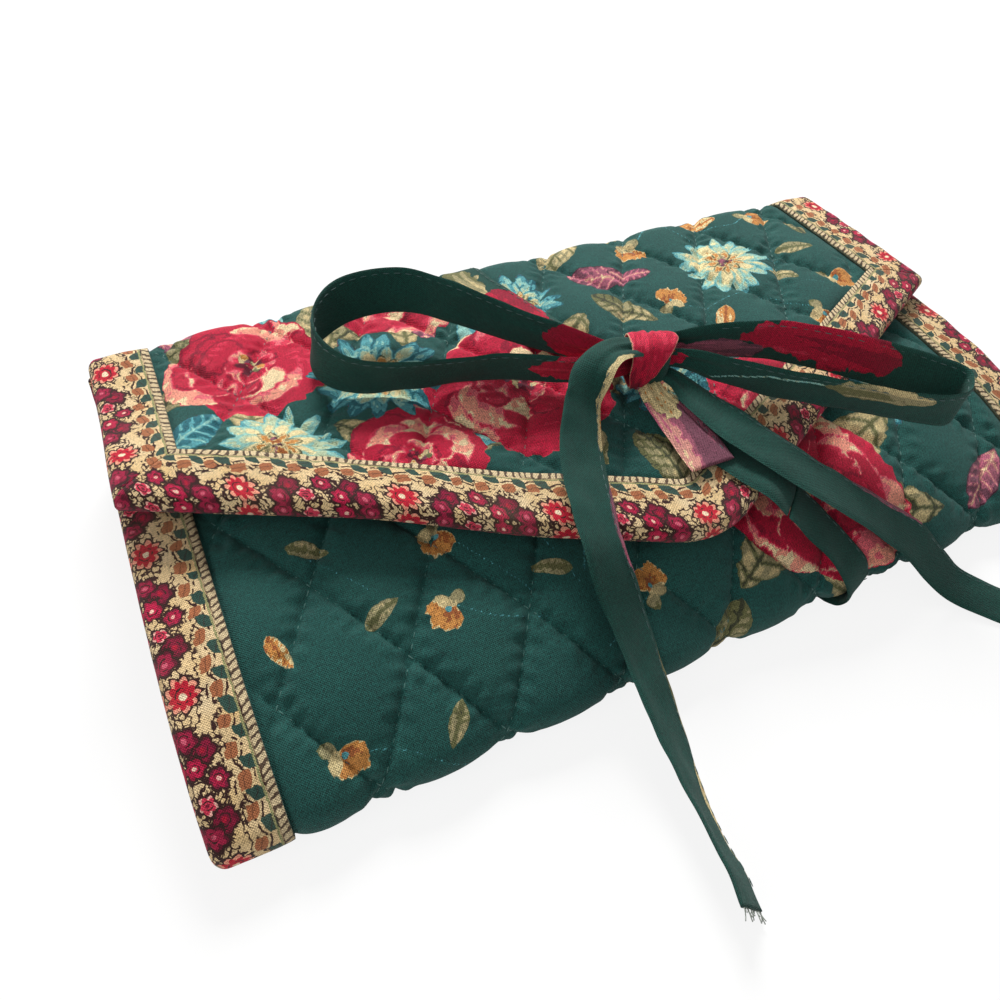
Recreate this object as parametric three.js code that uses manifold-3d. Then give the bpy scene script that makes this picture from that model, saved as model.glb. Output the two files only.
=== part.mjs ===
// A quilted cloth jewelry pouch, closed and tied: a padded body folded at the front, a pointed
// flap that folds over from the rear, border-print bindings, an inner zip pocket and a cloth tie
// that goes once round the pouch and ends in a bow.
// Millimetres. X runs along the pouch, -Y is the front fold, +Z is up from the table.
import * as THREE from "three";
import { mergeVertices } from "three/addons/utils/BufferGeometryUtils.js";
import Module from "manifold-3d";

const wasm = await Module();
wasm.setup();

// Overall sizes
const LENGTH = 254;
const DEPTH = 135;
const SPINE_TOP = 30;
const CLEAR = 0.3;
const LAP = 0.2;

// Layers of the quilted cloth, counted inwards from a seam of the quilting
const PUFF = 0.7;
const COVER = 1.2;
const STEP = 0.2;
const BATTING = 1.8;
const LINING = 0.6;
const QUILT_WIDTH = 29.6;
const QUILT_LENGTH = 48;
const QUILT_X = -3;
const TURN_DEGREES = 28;
const FLAP_QUILT_Y = 59;

// Body profile
const NOSE_RADIUS = 6;
const REAR_RADIUS = 7;
const FRONT_RISE = 17.6;
const FRONT_SLOPE = THREE.MathUtils.degToRad(35);
const MOUTH_Y = 42;

// Flap
const FLAP_INSET = 1.5;
const FLAP_HALF = LENGTH / 2 - FLAP_INSET;
const FLAP_RADIUS = 6;
const FOLD_RISE = 0.6;
const FLAP_DROOP = 5.3;
const FLAP_CORNER_Y = 6;
const FLAP_TIP_Y = -54;
const TIP_ROUND = 13;

// Bindings
const TRIM = 16;
const TRIM_THICKNESS = 0.9;
const SIDE_WALL = 3;
const EDGE_WALL = 1.6;
const MOUTH_TRIM = 8;
const UNDER_TRIM = 12;

// Tie
const TIE_WIDTH = 12.7;
const TIE_THICKNESS = 1;
const KNOT = { x: 8, y: -4.2, z: 44.9, width: 12, depth: 12, height: 14.5, swell: 0.72 };
const UNDER_FRONT_X = 37.8;
const UNDER_FRONT_Y = 7.2 - DEPTH / 2;
const UNDER_REAR_X = -12.5;
const UNDER_REAR_Y = DEPTH / 2 - 8.1;
const WRAP_DRIFT = 3.5;

// Inner pocket and its zip
const POCKET_INSET = 23;
const POCKET_HALF = LENGTH / 2 - POCKET_INSET;
const POCKET_FRONT_Y = -42;
const POCKET_LAP = 4;
const ZIP_Y = 49;
const TAPE_WIDTH = 8;
const TAPE = 0.6;
const COIL_WIDTH = 4;
const COIL_HEIGHT = 1.4;
const COIL_PITCH = 4;
const COIL_NOTCH = 0.5;
const STOP_LENGTH = 2.5;
const SLIDER_LENGTH = 9;
const SLIDER_PLATE = 1.2;
const SLIDER_REACH = { nose: 1.2, shoulder: 2.4, tail: 1.6 };
const SLIDER_START = 5;
const SLIDER_X = SLIDER_START - POCKET_HALF;
const PULL_LENGTH = 15;
const PULL_WIDTH = 5;
const PULL_THICKNESS = 1;
const PULL_EYE = { radius: 1.1, inset: 3 };
const PULL_TILT = THREE.MathUtils.degToRad(8);
const PIN_RADIUS = 0.7;
const BARREL_WALL = 0.7;
const EAR_RADIUS = 1.6;
const EAR_WIDTH = 0.9;

const COVER_INNER = -COVER;
const BATTING_OUTER = COVER_INNER - CLEAR;
const BATTING_INNER = BATTING_OUTER - BATTING;
const LINING_OUTER = BATTING_INNER - CLEAR;
const LINING_INNER = LINING_OUTER - LINING;
const TRIM_INNER = PUFF - TRIM_THICKNESS;
const RECESS = TRIM_INNER - CLEAR;
const UNDER_OUTER = LINING_INNER - CLEAR;
const UNDER_INNER = UNDER_OUTER - TRIM_THICKNESS;

// Profiles in the YZ plane: a fine polyline, with the point and the normal at any length along it
function makeProfile(points, side) {
  const lengths = [0];
  for (let i = 1; i < points.length; i++) {
    lengths.push(lengths[i - 1] + points[i].distanceTo(points[i - 1]));
  }
  const total = lengths[lengths.length - 1];
  const at = (s) => {
    const held = THREE.MathUtils.clamp(s, 0, total);
    let i = 1;
    while (i < points.length - 1 && lengths[i] < held) i++;
    const share = (held - lengths[i - 1]) / (lengths[i] - lengths[i - 1]);
    const point = points[i - 1].clone().lerp(points[i], share);
    const before = points[Math.max(i - 2, 0)];
    const after = points[Math.min(i + 1, points.length - 1)];
    const tangent = after.clone().sub(before).normalize();
    return { y: point.x, z: point.y, ny: -tangent.y * side, nz: tangent.x * side };
  };
  const lengthAtY = (y, from) => {
    for (let i = 1; i < points.length; i++) {
      const a = points[i - 1].x;
      const b = points[i].x;
      if (lengths[i] > from && (a - y) * (b - y) <= 0 && a !== b) {
        return lengths[i - 1] + ((y - a) / (b - a)) * (lengths[i] - lengths[i - 1]);
      }
    }
    return total;
  };
  return { total, at, lengthAtY };
}

function arcPoints(centreY, centreZ, radius, fromDegrees, toDegrees, steps) {
  const points = [];
  for (let i = 0; i <= steps; i++) {
    const degrees = fromDegrees + ((toDegrees - fromDegrees) * i) / steps;
    const angle = THREE.MathUtils.degToRad(degrees);
    const y = centreY + radius * Math.cos(angle);
    points.push(new THREE.Vector2(y, centreZ + radius * Math.sin(angle)));
  }
  return points;
}

function straightDown(y, top, bottom) {
  return [new THREE.Vector2(y, top), new THREE.Vector2(y, (top + bottom) / 2)];
}

const REAR_Y = DEPTH / 2 - PUFF;
const NOSE_Y = -REAR_Y + NOSE_RADIUS;
const NOSE_Z = PUFF + NOSE_RADIUS;
const FRONT_Y = NOSE_Y - NOSE_RADIUS * Math.sin(FRONT_SLOPE);
const FRONT_Z = NOSE_Z + NOSE_RADIUS * Math.cos(FRONT_SLOPE);

function frontHeight(y) {
  const reach = FRONT_RISE / Math.tan(FRONT_SLOPE);
  return FRONT_Z + FRONT_RISE * (1 - Math.exp(-(y - FRONT_Y) / reach));
}

// From the top of the spine down, under the pouch, round the front fold and up to the mouth.
function bodyProfile() {
  const points = straightDown(REAR_Y, SPINE_TOP, PUFF + REAR_RADIUS);
  points.push(...arcPoints(REAR_Y - REAR_RADIUS, PUFF + REAR_RADIUS, REAR_RADIUS, 0, -90, 12));
  const noseEnd = THREE.MathUtils.radToDeg(FRONT_SLOPE) - 270;
  points.push(...arcPoints(NOSE_Y, NOSE_Z, NOSE_RADIUS, -90, noseEnd, 20));
  const steps = 40;
  for (let i = 1; i <= steps; i++) {
    const y = FRONT_Y + ((MOUTH_Y - FRONT_Y) * i) / steps;
    points.push(new THREE.Vector2(y, frontHeight(y)));
  }
  const profile = makeProfile(points, 1);
  profile.zero = profile.lengthAtY(0, profile.total / 4);
  return profile;
}

const FOLD_Z = SPINE_TOP + CLEAR;
const FLAP_BACK_Y = REAR_Y - FLAP_RADIUS;
const FLAP_TURN_Z = FOLD_Z + FOLD_RISE;

function flapHeight(y) {
  const share = (FLAP_BACK_Y - y) / (FLAP_BACK_Y - FLAP_TIP_Y);
  return FLAP_TURN_Z + FLAP_RADIUS - FLAP_DROOP * share * share;
}

// From the fold line up, round the rear corner and forward to the tip.
function flapProfile() {
  const points = straightDown(REAR_Y, FOLD_Z, FLAP_TURN_Z);
  points.push(...arcPoints(FLAP_BACK_Y, FLAP_TURN_Z, FLAP_RADIUS, 0, 90, 10));
  const steps = 40;
  for (let i = 1; i <= steps; i++) {
    const y = FLAP_BACK_Y + ((FLAP_TIP_Y - FLAP_BACK_Y) * i) / steps;
    points.push(new THREE.Vector2(y, flapHeight(y)));
  }
  const profile = makeProfile(points, -1);
  profile.zero = profile.lengthAtY(FLAP_QUILT_Y, 0);
  return profile;
}

const body = bodyProfile();
const flap = flapProfile();

function pointOn(profile, x, s, offset) {
  const row = profile.at(s);
  return new THREE.Vector3(x, row.y + row.ny * offset, row.z + row.nz * offset);
}

// Closed geometries and solids
function signedVolume(positions, index) {
  const [a, b, c] = [new THREE.Vector3(), new THREE.Vector3(), new THREE.Vector3()];
  let volume = 0;
  for (let i = 0; i < index.length; i += 3) {
    a.fromArray(positions, index[i] * 3);
    b.fromArray(positions, index[i + 1] * 3);
    c.fromArray(positions, index[i + 2] * 3);
    volume += a.dot(b.cross(c)) / 6;
  }
  return volume;
}

function closedGeometry(positions, index) {
  const facing = signedVolume(positions, index) < 0 ? index.slice().reverse() : index;
  const geometry = new THREE.BufferGeometry();
  geometry.setAttribute("position", new THREE.Float32BufferAttribute(positions, 3));
  geometry.setIndex(facing);
  return geometry;
}

function toSolid(geometry) {
  const bare = new THREE.BufferGeometry();
  bare.setAttribute("position", geometry.getAttribute("position"));
  if (geometry.index) bare.setIndex(geometry.index);
  const merged = mergeVertices(bare, 1e-4);
  return new wasm.Manifold(
    new wasm.Mesh({
      numProp: 3,
      vertProperties: merged.attributes.position.array,
      triVerts: new Uint32Array(merged.index.array),
    }),
  );
}

function toGeometry(solid) {
  const mesh = solid.getMesh();
  const geometry = new THREE.BufferGeometry();
  geometry.setAttribute("position", new THREE.BufferAttribute(mesh.vertProperties, 3));
  geometry.setIndex(new THREE.BufferAttribute(mesh.triVerts, 1));
  return geometry;
}

// Joins equal rings of points into a closed body. A ring runs out along one side of the section
// and back along the other, so that opposite points pair up across each end.
function skin(rings) {
  const count = rings[0].length;
  const positions = rings.flat().flatMap((p) => [p.x, p.y, p.z]);
  const index = [];
  for (let i = 0; i < rings.length - 1; i++) {
    for (let j = 0; j < count; j++) {
      const a = i * count + j;
      const b = i * count + ((j + 1) % count);
      index.push(a, b, b + count, a, b + count, a + count);
    }
  }
  const last = (rings.length - 1) * count;
  for (let j = 0; j < count / 2 - 1; j++) {
    const k = count - 1 - j;
    index.push(j, k, j + 1, k, k - 1, j + 1);
    index.push(last + j, last + j + 1, last + k, last + k, last + j + 1, last + k - 1);
  }
  return closedGeometry(positions, index);
}

function boxGeometry(low, high) {
  const size = high.map((value, i) => value - low[i]);
  const geometry = new THREE.BoxGeometry(...size);
  return geometry.translate(...low.map((value, i) => value + size[i] / 2));
}

// Quilting: flat-topped diamonds between crossing seams
function seamDistance(x, s) {
  const u = (x - QUILT_X) / QUILT_WIDTH;
  const v = s / QUILT_LENGTH;
  const toLine = (value) => Math.abs(value - 0.5 - Math.round(value - 0.5));
  return Math.min(toLine(u + v), toLine(u - v));
}

function puffAt(x, s) {
  return PUFF * Math.min(1, seamDistance(x, s) * 4);
}

function spaced(from, to, step, start) {
  const values = [from];
  for (let i = Math.ceil((from - start) / step); start + i * step < to; i++) {
    const value = start + i * step;
    if (value - from > 0.5 && to - value > 0.5) values.push(value);
  }
  values.push(to);
  return values;
}

// Lengths along a profile at the quilting's own steps, closer together where the profile turns.
function profileRows(profile, from, to) {
  const even = spaced(from, to, QUILT_LENGTH / 4, profile.zero);
  const rows = [even[0]];
  for (let i = 1; i < even.length; i++) {
    const a = profile.at(even[i - 1] + 0.01);
    const b = profile.at(even[i] - 0.01);
    const turn = Math.acos(Math.min(1, a.ny * b.ny + a.nz * b.nz));
    const parts = Math.max(1, Math.ceil(THREE.MathUtils.radToDeg(turn) / TURN_DEGREES));
    for (let k = 1; k <= parts; k++) {
      rows.push(even[i - 1] + ((even[i] - even[i - 1]) * k) / parts);
    }
  }
  return rows;
}

// A sheet along a profile: a rule raises its outer side, and its inner side is even. Each outer
// cell is split along the diagonal that follows the seam through it.
function sheetSolid(profile, rows, columns, raise, inner) {
  const positions = [];
  const index = [];
  const addRow = (s, xs, offsetAt) =>
    xs.map((x) => positions.push(...pointOn(profile, x, s, offsetAt(x, s - profile.zero))) / 3 - 1);
  const outerRows = rows.map((s) => addRow(s, columns, raise));
  const lastRow = rows.length - 1;
  const lastColumn = columns.length - 1;
  const sides = [columns[0], columns[lastColumn]];
  const innerRows = rows.map((s, i) =>
    addRow(s, i === 0 || i === lastRow ? columns : sides, () => inner),
  );
  for (let i = 0; i < lastRow; i++) {
    const [s, next] = [rows[i] - profile.zero, rows[i + 1] - profile.zero];
    for (let j = 0; j < lastColumn; j++) {
      const [a, b] = [outerRows[i][j], outerRows[i][j + 1]];
      const [d, c] = [outerRows[i + 1][j], outerRows[i + 1][j + 1]];
      const alongAC = Math.max(seamDistance(columns[j], s), seamDistance(columns[j + 1], next));
      const alongBD = Math.max(seamDistance(columns[j + 1], s), seamDistance(columns[j], next));
      index.push(...(alongAC <= alongBD ? [a, b, c, a, c, d] : [a, b, d, b, c, d]));
    }
    const [near, far] = [innerRows[i], innerRows[i + 1]];
    for (let j = 1; j < near.length; j++) index.push(near[j - 1], far[0], near[j]);
    for (let j = 1; j < far.length; j++) index.push(near[near.length - 1], far[j - 1], far[j]);
    for (const [end, innerEnd, turn] of [[0, 0, 0], [lastColumn, -1, 1]]) {
      const [a, b] = [outerRows[i][end], outerRows[i + 1][end]];
      const [d, c] = [near.at(innerEnd), far.at(innerEnd)];
      index.push(...(turn ? [a, d, b, d, c, b] : [a, b, d, d, b, c]));
    }
  }
  for (let j = 0; j < lastColumn; j++) {
    const [a, b] = [outerRows[0][j], outerRows[0][j + 1]];
    const [d, c] = [innerRows[0][j], innerRows[0][j + 1]];
    index.push(a, d, b, d, c, b);
    const [e, f] = [outerRows[lastRow][j], outerRows[lastRow][j + 1]];
    const [h, g] = [innerRows[lastRow][j], innerRows[lastRow][j + 1]];
    index.push(e, f, h, h, f, g);
  }
  return toSolid(closedGeometry(positions, index));
}

function quiltColumns(half) {
  return spaced(-half, half, QUILT_WIDTH / 4, QUILT_X);
}

function plainSheet(profile, to, half, outer, inner) {
  return sheetSolid(profile, profileRows(profile, 0, to), [-half, half], () => outer, inner);
}

// Ribbons: hand-chosen stations of a tie, each with its place, the way its width points and
// its share of the full width, 1 unless it is gathered
function ribbonSolid(stations, extra = 0) {
  const places = stations.map(([x, y, z]) => new THREE.Vector3(x, y, z));
  const curve = new THREE.CatmullRomCurve3(places, false, "centripetal");
  const spans = stations.length - 1;
  const steps = spans > 1 ? spans * 3 : 1;
  const rings = [];
  for (let i = 0; i <= steps; i++) {
    const t = i / steps;
    const k = Math.min(Math.floor(t * spans), spans - 1);
    const share = t * spans - k;
    const [from, to] = [stations[k], stations[k + 1]];
    const mix = (n, unset) =>
      THREE.MathUtils.lerp(from[n] ?? unset, to[n] ?? unset, share);
    const tangent = curve.getTangent(t);
    const across = new THREE.Vector3(mix(3, 1), mix(4, 0), mix(5, 0));
    across.addScaledVector(tangent, -across.dot(tangent)).normalize();
    const width = (TIE_WIDTH * mix(6, 1)) / 2 + extra;
    across.multiplyScalar(width);
    const up = across.clone().cross(tangent).normalize();
    up.multiplyScalar(TIE_THICKNESS / 2 + extra);
    const place = curve.getPoint(t);
    if (i === 0) place.addScaledVector(tangent, -extra);
    if (i === steps) place.addScaledVector(tangent, extra);
    const corner = (a, b) => place.clone().addScaledVector(across, a).addScaledVector(up, b);
    rings.push([corner(-1, 1), corner(1, 1), corner(1, -1), corner(-1, -1)]);
  }
  return toSolid(skin(rings));
}

const TIE_MID = TIE_THICKNESS / 2;
const REAR_STRAP_Y = DEPTH / 2 + CLEAR + TIE_MID;

const routes = {
  tie_rise: [
    [7.2, -37, 36.5],
    [7.4, -30, 37.1],
    [6.8, -20.5, 38.3, 1, 0, 0, 0.85],
    [5.8, -13, 39.5, 1, 0, 0, 0.6],
    [6.8, -5, 40.7, 1, 0, 0, 0.5],
  ],
  tie_wrap_start: [
    [12, -29.5, 35.5, 0.9, 0.4, 0],
    [14.5, -34, 35.2, 0.9, 0.4, 0],
    [17.5, -41, 34.6, 0.9, 0.4, 0],
    [20.5, -46.2, 33.7, 0.85, 0.5, 0],
    [23.8, -50, 29.8, 0.8, 0.6, 0],
  ],
  tie_wrap_front: [
    [24.1, -50.35, 29.4, 0.8, 0.6, 0],
    [29.7, -55.9, 23.1, 0.8, 0.6, 0],
    [34.8, UNDER_FRONT_Y - 1.1, 17.3, 0.8, 0.55, 0],
    [38, UNDER_FRONT_Y - 6.6, 11.9, 0.9, 0.4, 0],
    [39.4, UNDER_FRONT_Y - 8.3, 6.9, 0.93, 0.35, 0],
    [39.8, UNDER_FRONT_Y - 6.8, 2.7, 0.93, 0.37, 0],
    [39.3, UNDER_FRONT_Y - 4.1, 0.85, 0.92, 0.39, 0],
    [38.65, UNDER_FRONT_Y - 2.05, TIE_MID, 0.92, 0.39, 0],
    [UNDER_FRONT_X + 0.12, UNDER_FRONT_Y - CLEAR, TIE_MID, 0.92, 0.39, 0],
  ],
  tie_wrap_under: [
    [UNDER_FRONT_X, UNDER_FRONT_Y, TIE_MID, 0.92, 0.39, 0],
    [UNDER_REAR_X, UNDER_REAR_Y, TIE_MID, 0.92, 0.39, 0],
  ],
  tie_wrap_rear: [
    [UNDER_REAR_X - 0.12, UNDER_REAR_Y + CLEAR, TIE_MID, 0.92, 0.39, 0],
    [UNDER_REAR_X - 0.95, UNDER_REAR_Y + 2.3, 0.6, 0.92, 0.39, 0],
    [UNDER_REAR_X - 1.9, UNDER_REAR_Y + 5.2, 1.6, 0.95, 0.3, 0],
    [UNDER_REAR_X - 2.8, UNDER_REAR_Y + 7.9, 4.8, 1, 0.1, 0],
    [UNDER_REAR_X - 3.2, REAR_STRAP_Y, 10, 1, 0, 0],
    [UNDER_REAR_X - WRAP_DRIFT, REAR_STRAP_Y, 20, 1, 0, 0],
    [UNDER_REAR_X - WRAP_DRIFT, REAR_STRAP_Y, SPINE_TOP, 1, 0, 0],
  ],
  tie_wrap_top: [
    [UNDER_REAR_X - WRAP_DRIFT, REAR_STRAP_Y, FOLD_Z, 1, 0, 0],
    [UNDER_REAR_X - WRAP_DRIFT, REAR_STRAP_Y, 31.5, 1, 0, 0],
    [-16, REAR_STRAP_Y - 1, 35, 1, 0, 0],
    [-16, REAR_STRAP_Y - 3.7, 37.6, 1, 0, 0],
    [-15.9, REAR_STRAP_Y - 7.5, 38.6, 1, 0.1, 0],
    [-15, 55, 38.8, 0.97, 0.25, 0],
    [-12, 45, 38.8, 0.94, 0.34, 0],
    [-7.5, 29, 39, 0.94, 0.34, 0],
    [-3, 14, 39.9, 0.9, 0.4, 0, 0.9],
    [1.5, 4.5, 41.2, 0.9, 0.4, 0, 0.7],
    [6, -2, 42.4, 0.9, 0.4, 0, 0.55],
  ],
  bow_loop_left: [
    [5, -4.7, 45.5, 0, 0, 1, 0.5],
    [-1, -4, 45.3, 0, 0, 1, 0.52],
    [-14, 0.5, 45.2, 0, -0.3, 1, 0.85],
    [-29, 9, 44.8, 0, -0.4, 1],
    [-44, 13, 44.6, 0, -0.4, 1],
    [-58, 17, 44.6, 0, -0.3, 1],
    [-67, 22.5, 45, 0.1, -0.1, 1],
    [-71, 30, 46.4, 0.2, 0, 1],
    [-68.5, 38, 48.8, 0.2, 0.1, 1],
    [-57.5, 44.5, 50.6, 0, 0.2, 1],
    [-43, 42, 51.4, 0, 0.2, 1],
    [-33, 32.5, 51, 0, 0.1, 1],
    [-22, 19.5, 49.6, 0, 0, 1, 0.9],
    [-10, 7.5, 48, 0, 0, 1, 0.75],
    [-1, 0.5, 46.8, 0, 0, 1, 0.5],
    [5.5, -1.6, 46.4, 0, 0, 1, 0.45],
  ],
  bow_loop_right: [
    [11, -5.6, 46, 0, 0, 1, 0.45],
    [16, -8.2, 45.8, 0, 0, 1, 0.5],
    [24, -15.5, 45, 0, -0.3, 1, 0.8],
    [35, -24.5, 43.6, 0, -0.4, 1],
    [47, -33.5, 43, 0, -0.4, 1],
    [58, -41, 42, 0, -0.4, 1],
    [69, -47, 40.6, 0, -0.3, 1],
    [77.5, -48.5, 40, 0.1, 0, 1],
    [81, -43.5, 40.8, 0.2, 0.1, 1],
    [75, -37.5, 42.6, 0, 0.2, 1],
    [64, -30.5, 45.4, 0, 0.2, 1],
    [52.5, -22.5, 47.6, 0, 0.1, 1],
    [41, -14.5, 48.6, 0, 0, 1],
    [28, -8, 48.2, 0, 0, 1, 0.85],
    [17, -3.2, 47.2, 0, 0, 1, 0.6],
    [11, -1.8, 46.8, 0, 0, 1, 0.5],
  ],
  tie_tail_left: [
    [6.2, -4.2, 49.4, 0, -1, -0.2, 0.5],
    [1, -4.2, 51.2, 0, -1, -0.2, 0.58],
    [-4.8, -4.7, 52, 0.2, -1, 0, 0.72],
    [-10.4, -7, 50.6, 0.6, -0.8, 0, 0.8],
    [-15.3, -10.7, 45.6, 0.96, 0, -0.29, 0.85],
    [-22.3, -22.7, 39.4, 0.96, 0, -0.29],
    [-27.8, -38.2, 37.2, 0.94, 0, -0.34],
    [-29.9, -47.9, 33.6, 0.91, 0, -0.41],
    [-28.3, -58.5, 21.4, 0.88, 0, -0.47],
    [-28.8, -69.3, 14.6, 0.86, 0, -0.52],
    [-29.7, -80.5, 9.6, 0.79, 0, -0.62],
    [-30.9, -90.3, 6.7, 0.66, 0, -0.75],
    [-32.3, -98.4, 6.05, 0.57, 0, -0.82],
    [-33.2, -106.6, 5.95, 0.54, 0, -0.84],
    [-33.6, -112.7, 5.85, 0.59, 0, -0.81],
    [-35, -118.3, 5.8, 0.6, 0, -0.8],
  ],
  tie_tail_right: [
    [10.8, -5.8, 42.3, 0.8, 0.5, 0, 0.45],
    [13.5, -11.5, 41.4, 0.85, 0.5, 0, 0.55],
    [15, -19, 40.5, 0.9, 0.4, 0, 0.8],
    [19.3, -30.8, 38.7, 0.9, 0.42, 0],
    [25, -41.5, 36.4, 0.8, 0.6, 0],
    [33, -50, 31.6, 0.75, 0.65, 0],
    [42, -56.8, 26, 0.78, 0.6, 0],
    [49.5, -61.8, 20.8, 0.85, 0.5, 0],
    [56.5, -67, 15.4, 0.95, 0.3, 0],
    [62, -72.2, 9.2, 0.95, 0.3, 0],
    [67, -77.6, 3.9, 0.92, 0.4, 0],
    [74, -85.5, 1.3, 0.84, 0.54, 0],
    [86, -99, 0.7, 0.8, 0.6, 0],
  ],
};

// A soft knot: a ball drawn out towards a box.
function knotSolid(extra) {
  const ball = new THREE.SphereGeometry(1, 16, 10);
  const place = ball.getAttribute("position");
  const swell = (value) => Math.sign(value) * Math.abs(value) ** KNOT.swell;
  for (let i = 0; i < place.count; i++) {
    const x = KNOT.x + swell(place.getX(i)) * (KNOT.width / 2 + extra);
    const y = KNOT.y + swell(place.getZ(i)) * (KNOT.depth / 2 + extra);
    const z = KNOT.z + swell(place.getY(i)) * (KNOT.height / 2 + extra);
    place.setXYZ(i, x, y, z);
  }
  const positions = Array.from(place.array, (value) => Math.round(value * 1e4) / 1e4);
  const bare = new THREE.BufferGeometry();
  bare.setAttribute("position", new THREE.Float32BufferAttribute(positions, 3));
  bare.setIndex(ball.index);
  const merged = mergeVertices(bare, 1e-3);
  const index = Array.from(merged.index.array);
  return toSolid(closedGeometry(Array.from(merged.attributes.position.array), index));
}

function tiePiece(name) {
  return ribbonSolid(routes[name]).subtract(knotSolid(CLEAR));
}

// Body
const BODY_HALF = LENGTH / 2 - SIDE_WALL - CLEAR;
const TRIM_EDGE = LENGTH / 2 - TRIM;
const PANEL_END = body.total - TRIM_THICKNESS - CLEAR;
const MOUTH_EDGE = body.total - MOUTH_TRIM;

// The strap sinks into the padding where it passes under the pouch.
function strapChannel() {
  const under = ["tie_wrap_front", "tie_wrap_under", "tie_wrap_rear"];
  return wasm.Manifold.union(under.map((name) => ribbonSolid(routes[name], CLEAR)));
}

// Puffed inside the bindings, and one step lower under them
function bodyCover() {
  const edge = TRIM_EDGE - CLEAR - STEP;
  const mouth = MOUTH_EDGE - CLEAR - STEP;
  const columns = [-BODY_HALF, -edge - STEP, ...quiltColumns(edge), edge + STEP, BODY_HALF];
  const rows = [...profileRows(body, 0, mouth), mouth + STEP, PANEL_END];
  const raise = (x, s) =>
    Math.abs(x) > edge || s + body.zero > mouth ? RECESS : puffAt(x, s);
  return sheetSolid(body, rows, columns, raise, COVER_INNER).subtract(strapChannel());
}

// The border print wraps the side: a flange on the cloth and a rounded wall across the end.
function sideBinding(side) {
  const flange = plainSheet(body, body.total, LENGTH / 2 - SIDE_WALL / 2, PUFF, TRIM_INNER);
  const outer = side * (LENGTH / 2);
  const inner = side * TRIM_EDGE;
  const low = Math.min(outer, inner);
  const kept = boxGeometry([low, -DEPTH, -1], [low + TRIM, DEPTH, LENGTH]);
  const rows = profileRows(body, 0, body.total);
  const apart = rows.filter((s, i) => i === 0 || s - rows[i - 1] > SIDE_WALL);
  const outline = apart.map((s) => {
    const point = pointOn(body, 0, s, PUFF);
    return new THREE.Vector2(point.y, point.z);
  });
  const options = {
    depth: SIDE_WALL,
    bevelThickness: SIDE_WALL,
    bevelSize: SIDE_WALL,
    bevelOffset: -SIDE_WALL,
    bevelSegments: 3,
  };
  const wall = new THREE.ExtrudeGeometry(new THREE.Shape(outline), options);
  const turn = new THREE.Matrix4().makeBasis(
    new THREE.Vector3(0, 1, 0),
    new THREE.Vector3(0, 0, 1),
    new THREE.Vector3(1, 0, 0),
  );
  wall.applyMatrix4(turn);
  const wallStart = side < 0 ? -LENGTH / 2 + SIDE_WALL : LENGTH / 2 - 2 * SIDE_WALL;
  wall.translate(wallStart, 0, 0);
  const wallLow = side < 0 ? -LENGTH / 2 : LENGTH / 2 - SIDE_WALL;
  const slab = boxGeometry([wallLow, -DEPTH, -1], [wallLow + SIDE_WALL, DEPTH, LENGTH]);
  const flangeCut = toSolid(kept).subtract(toSolid(slab));
  return flange.intersect(flangeCut).add(toSolid(wall).intersect(toSolid(slab)));
}

// A binding folded round an edge: pairs of a distance from the edge and an offset from the cloth
function foldedSection(outerReach, innerReach, wall) {
  const top = PUFF;
  const bottom = UNDER_INNER;
  const middle = (top + bottom) / 2;
  const rounding = [
    [2.6, 0],
    [1, 0.4],
    [0.25, 1.2],
  ];
  const outer = [
    [outerReach, top],
    ...rounding.map(([d, depth]) => [d, top - depth]),
    [0, middle],
    ...rounding.reverse().map(([d, depth]) => [d, bottom + depth]),
    [innerReach, bottom],
  ];
  const inner = [
    [outerReach, TRIM_INNER],
    [2 * wall, TRIM_INNER],
    [wall, TRIM_INNER],
    [wall, (TRIM_INNER + middle) / 2],
    [wall, middle],
    [wall, (UNDER_OUTER + middle) / 2],
    [wall, UNDER_OUTER],
    [2 * wall, UNDER_OUTER],
    [innerReach, UNDER_OUTER],
  ];
  return [...outer, ...inner.reverse()];
}

function mouthBinding() {
  const section = foldedSection(MOUTH_TRIM, MOUTH_TRIM, TRIM_THICKNESS);
  const half = TRIM_EDGE - CLEAR;
  const ring = (x) => section.map(([d, offset]) => pointOn(body, x, body.total - d, offset));
  return toSolid(skin([ring(-half), ring(half)]));
}

// Flap, from its outline in plan
const SLANT = Math.atan2(FLAP_CORNER_Y - FLAP_TIP_Y, FLAP_HALF);
const FLAP_CLOTH = EDGE_WALL + CLEAR;

// The length along the flap at which a point off its cloth by an offset stands over a given Y.
function flapLength(y, offset) {
  const row = flap.at(flap.lengthAtY(y, FLAP_RADIUS));
  return flap.lengthAtY(y - row.ny * offset, FLAP_RADIUS);
}

function flapEdge(inset) {
  const tipY = FLAP_TIP_Y + inset / Math.cos(SLANT);
  const cornerX = FLAP_HALF - inset;
  return { tipY, cornerX, cornerY: tipY + cornerX * Math.tan(SLANT) };
}

// The right half of the front edge, from its corner to the middle of the rounded tip.
function slantPoints(inset, steps) {
  const { tipY, cornerX, cornerY } = flapEdge(inset);
  const start = new THREE.Vector2(cornerX, cornerY);
  const tip = new THREE.Vector2(0, tipY);
  const round = Math.max(TIP_ROUND - inset * 0.7, 1);
  const leave = tip.clone().lerp(start, round / tip.distanceTo(start));
  const points = [];
  for (let i = 0; i < steps; i++) points.push(start.clone().lerp(leave, i / steps));
  const middle = new THREE.Vector2(0, (leave.y + tip.y) / 2);
  const control = leave.clone().lerp(tip, 0.5);
  points.push(...new THREE.QuadraticBezierCurve(leave, control, middle).getPoints(4));
  return points;
}

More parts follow.
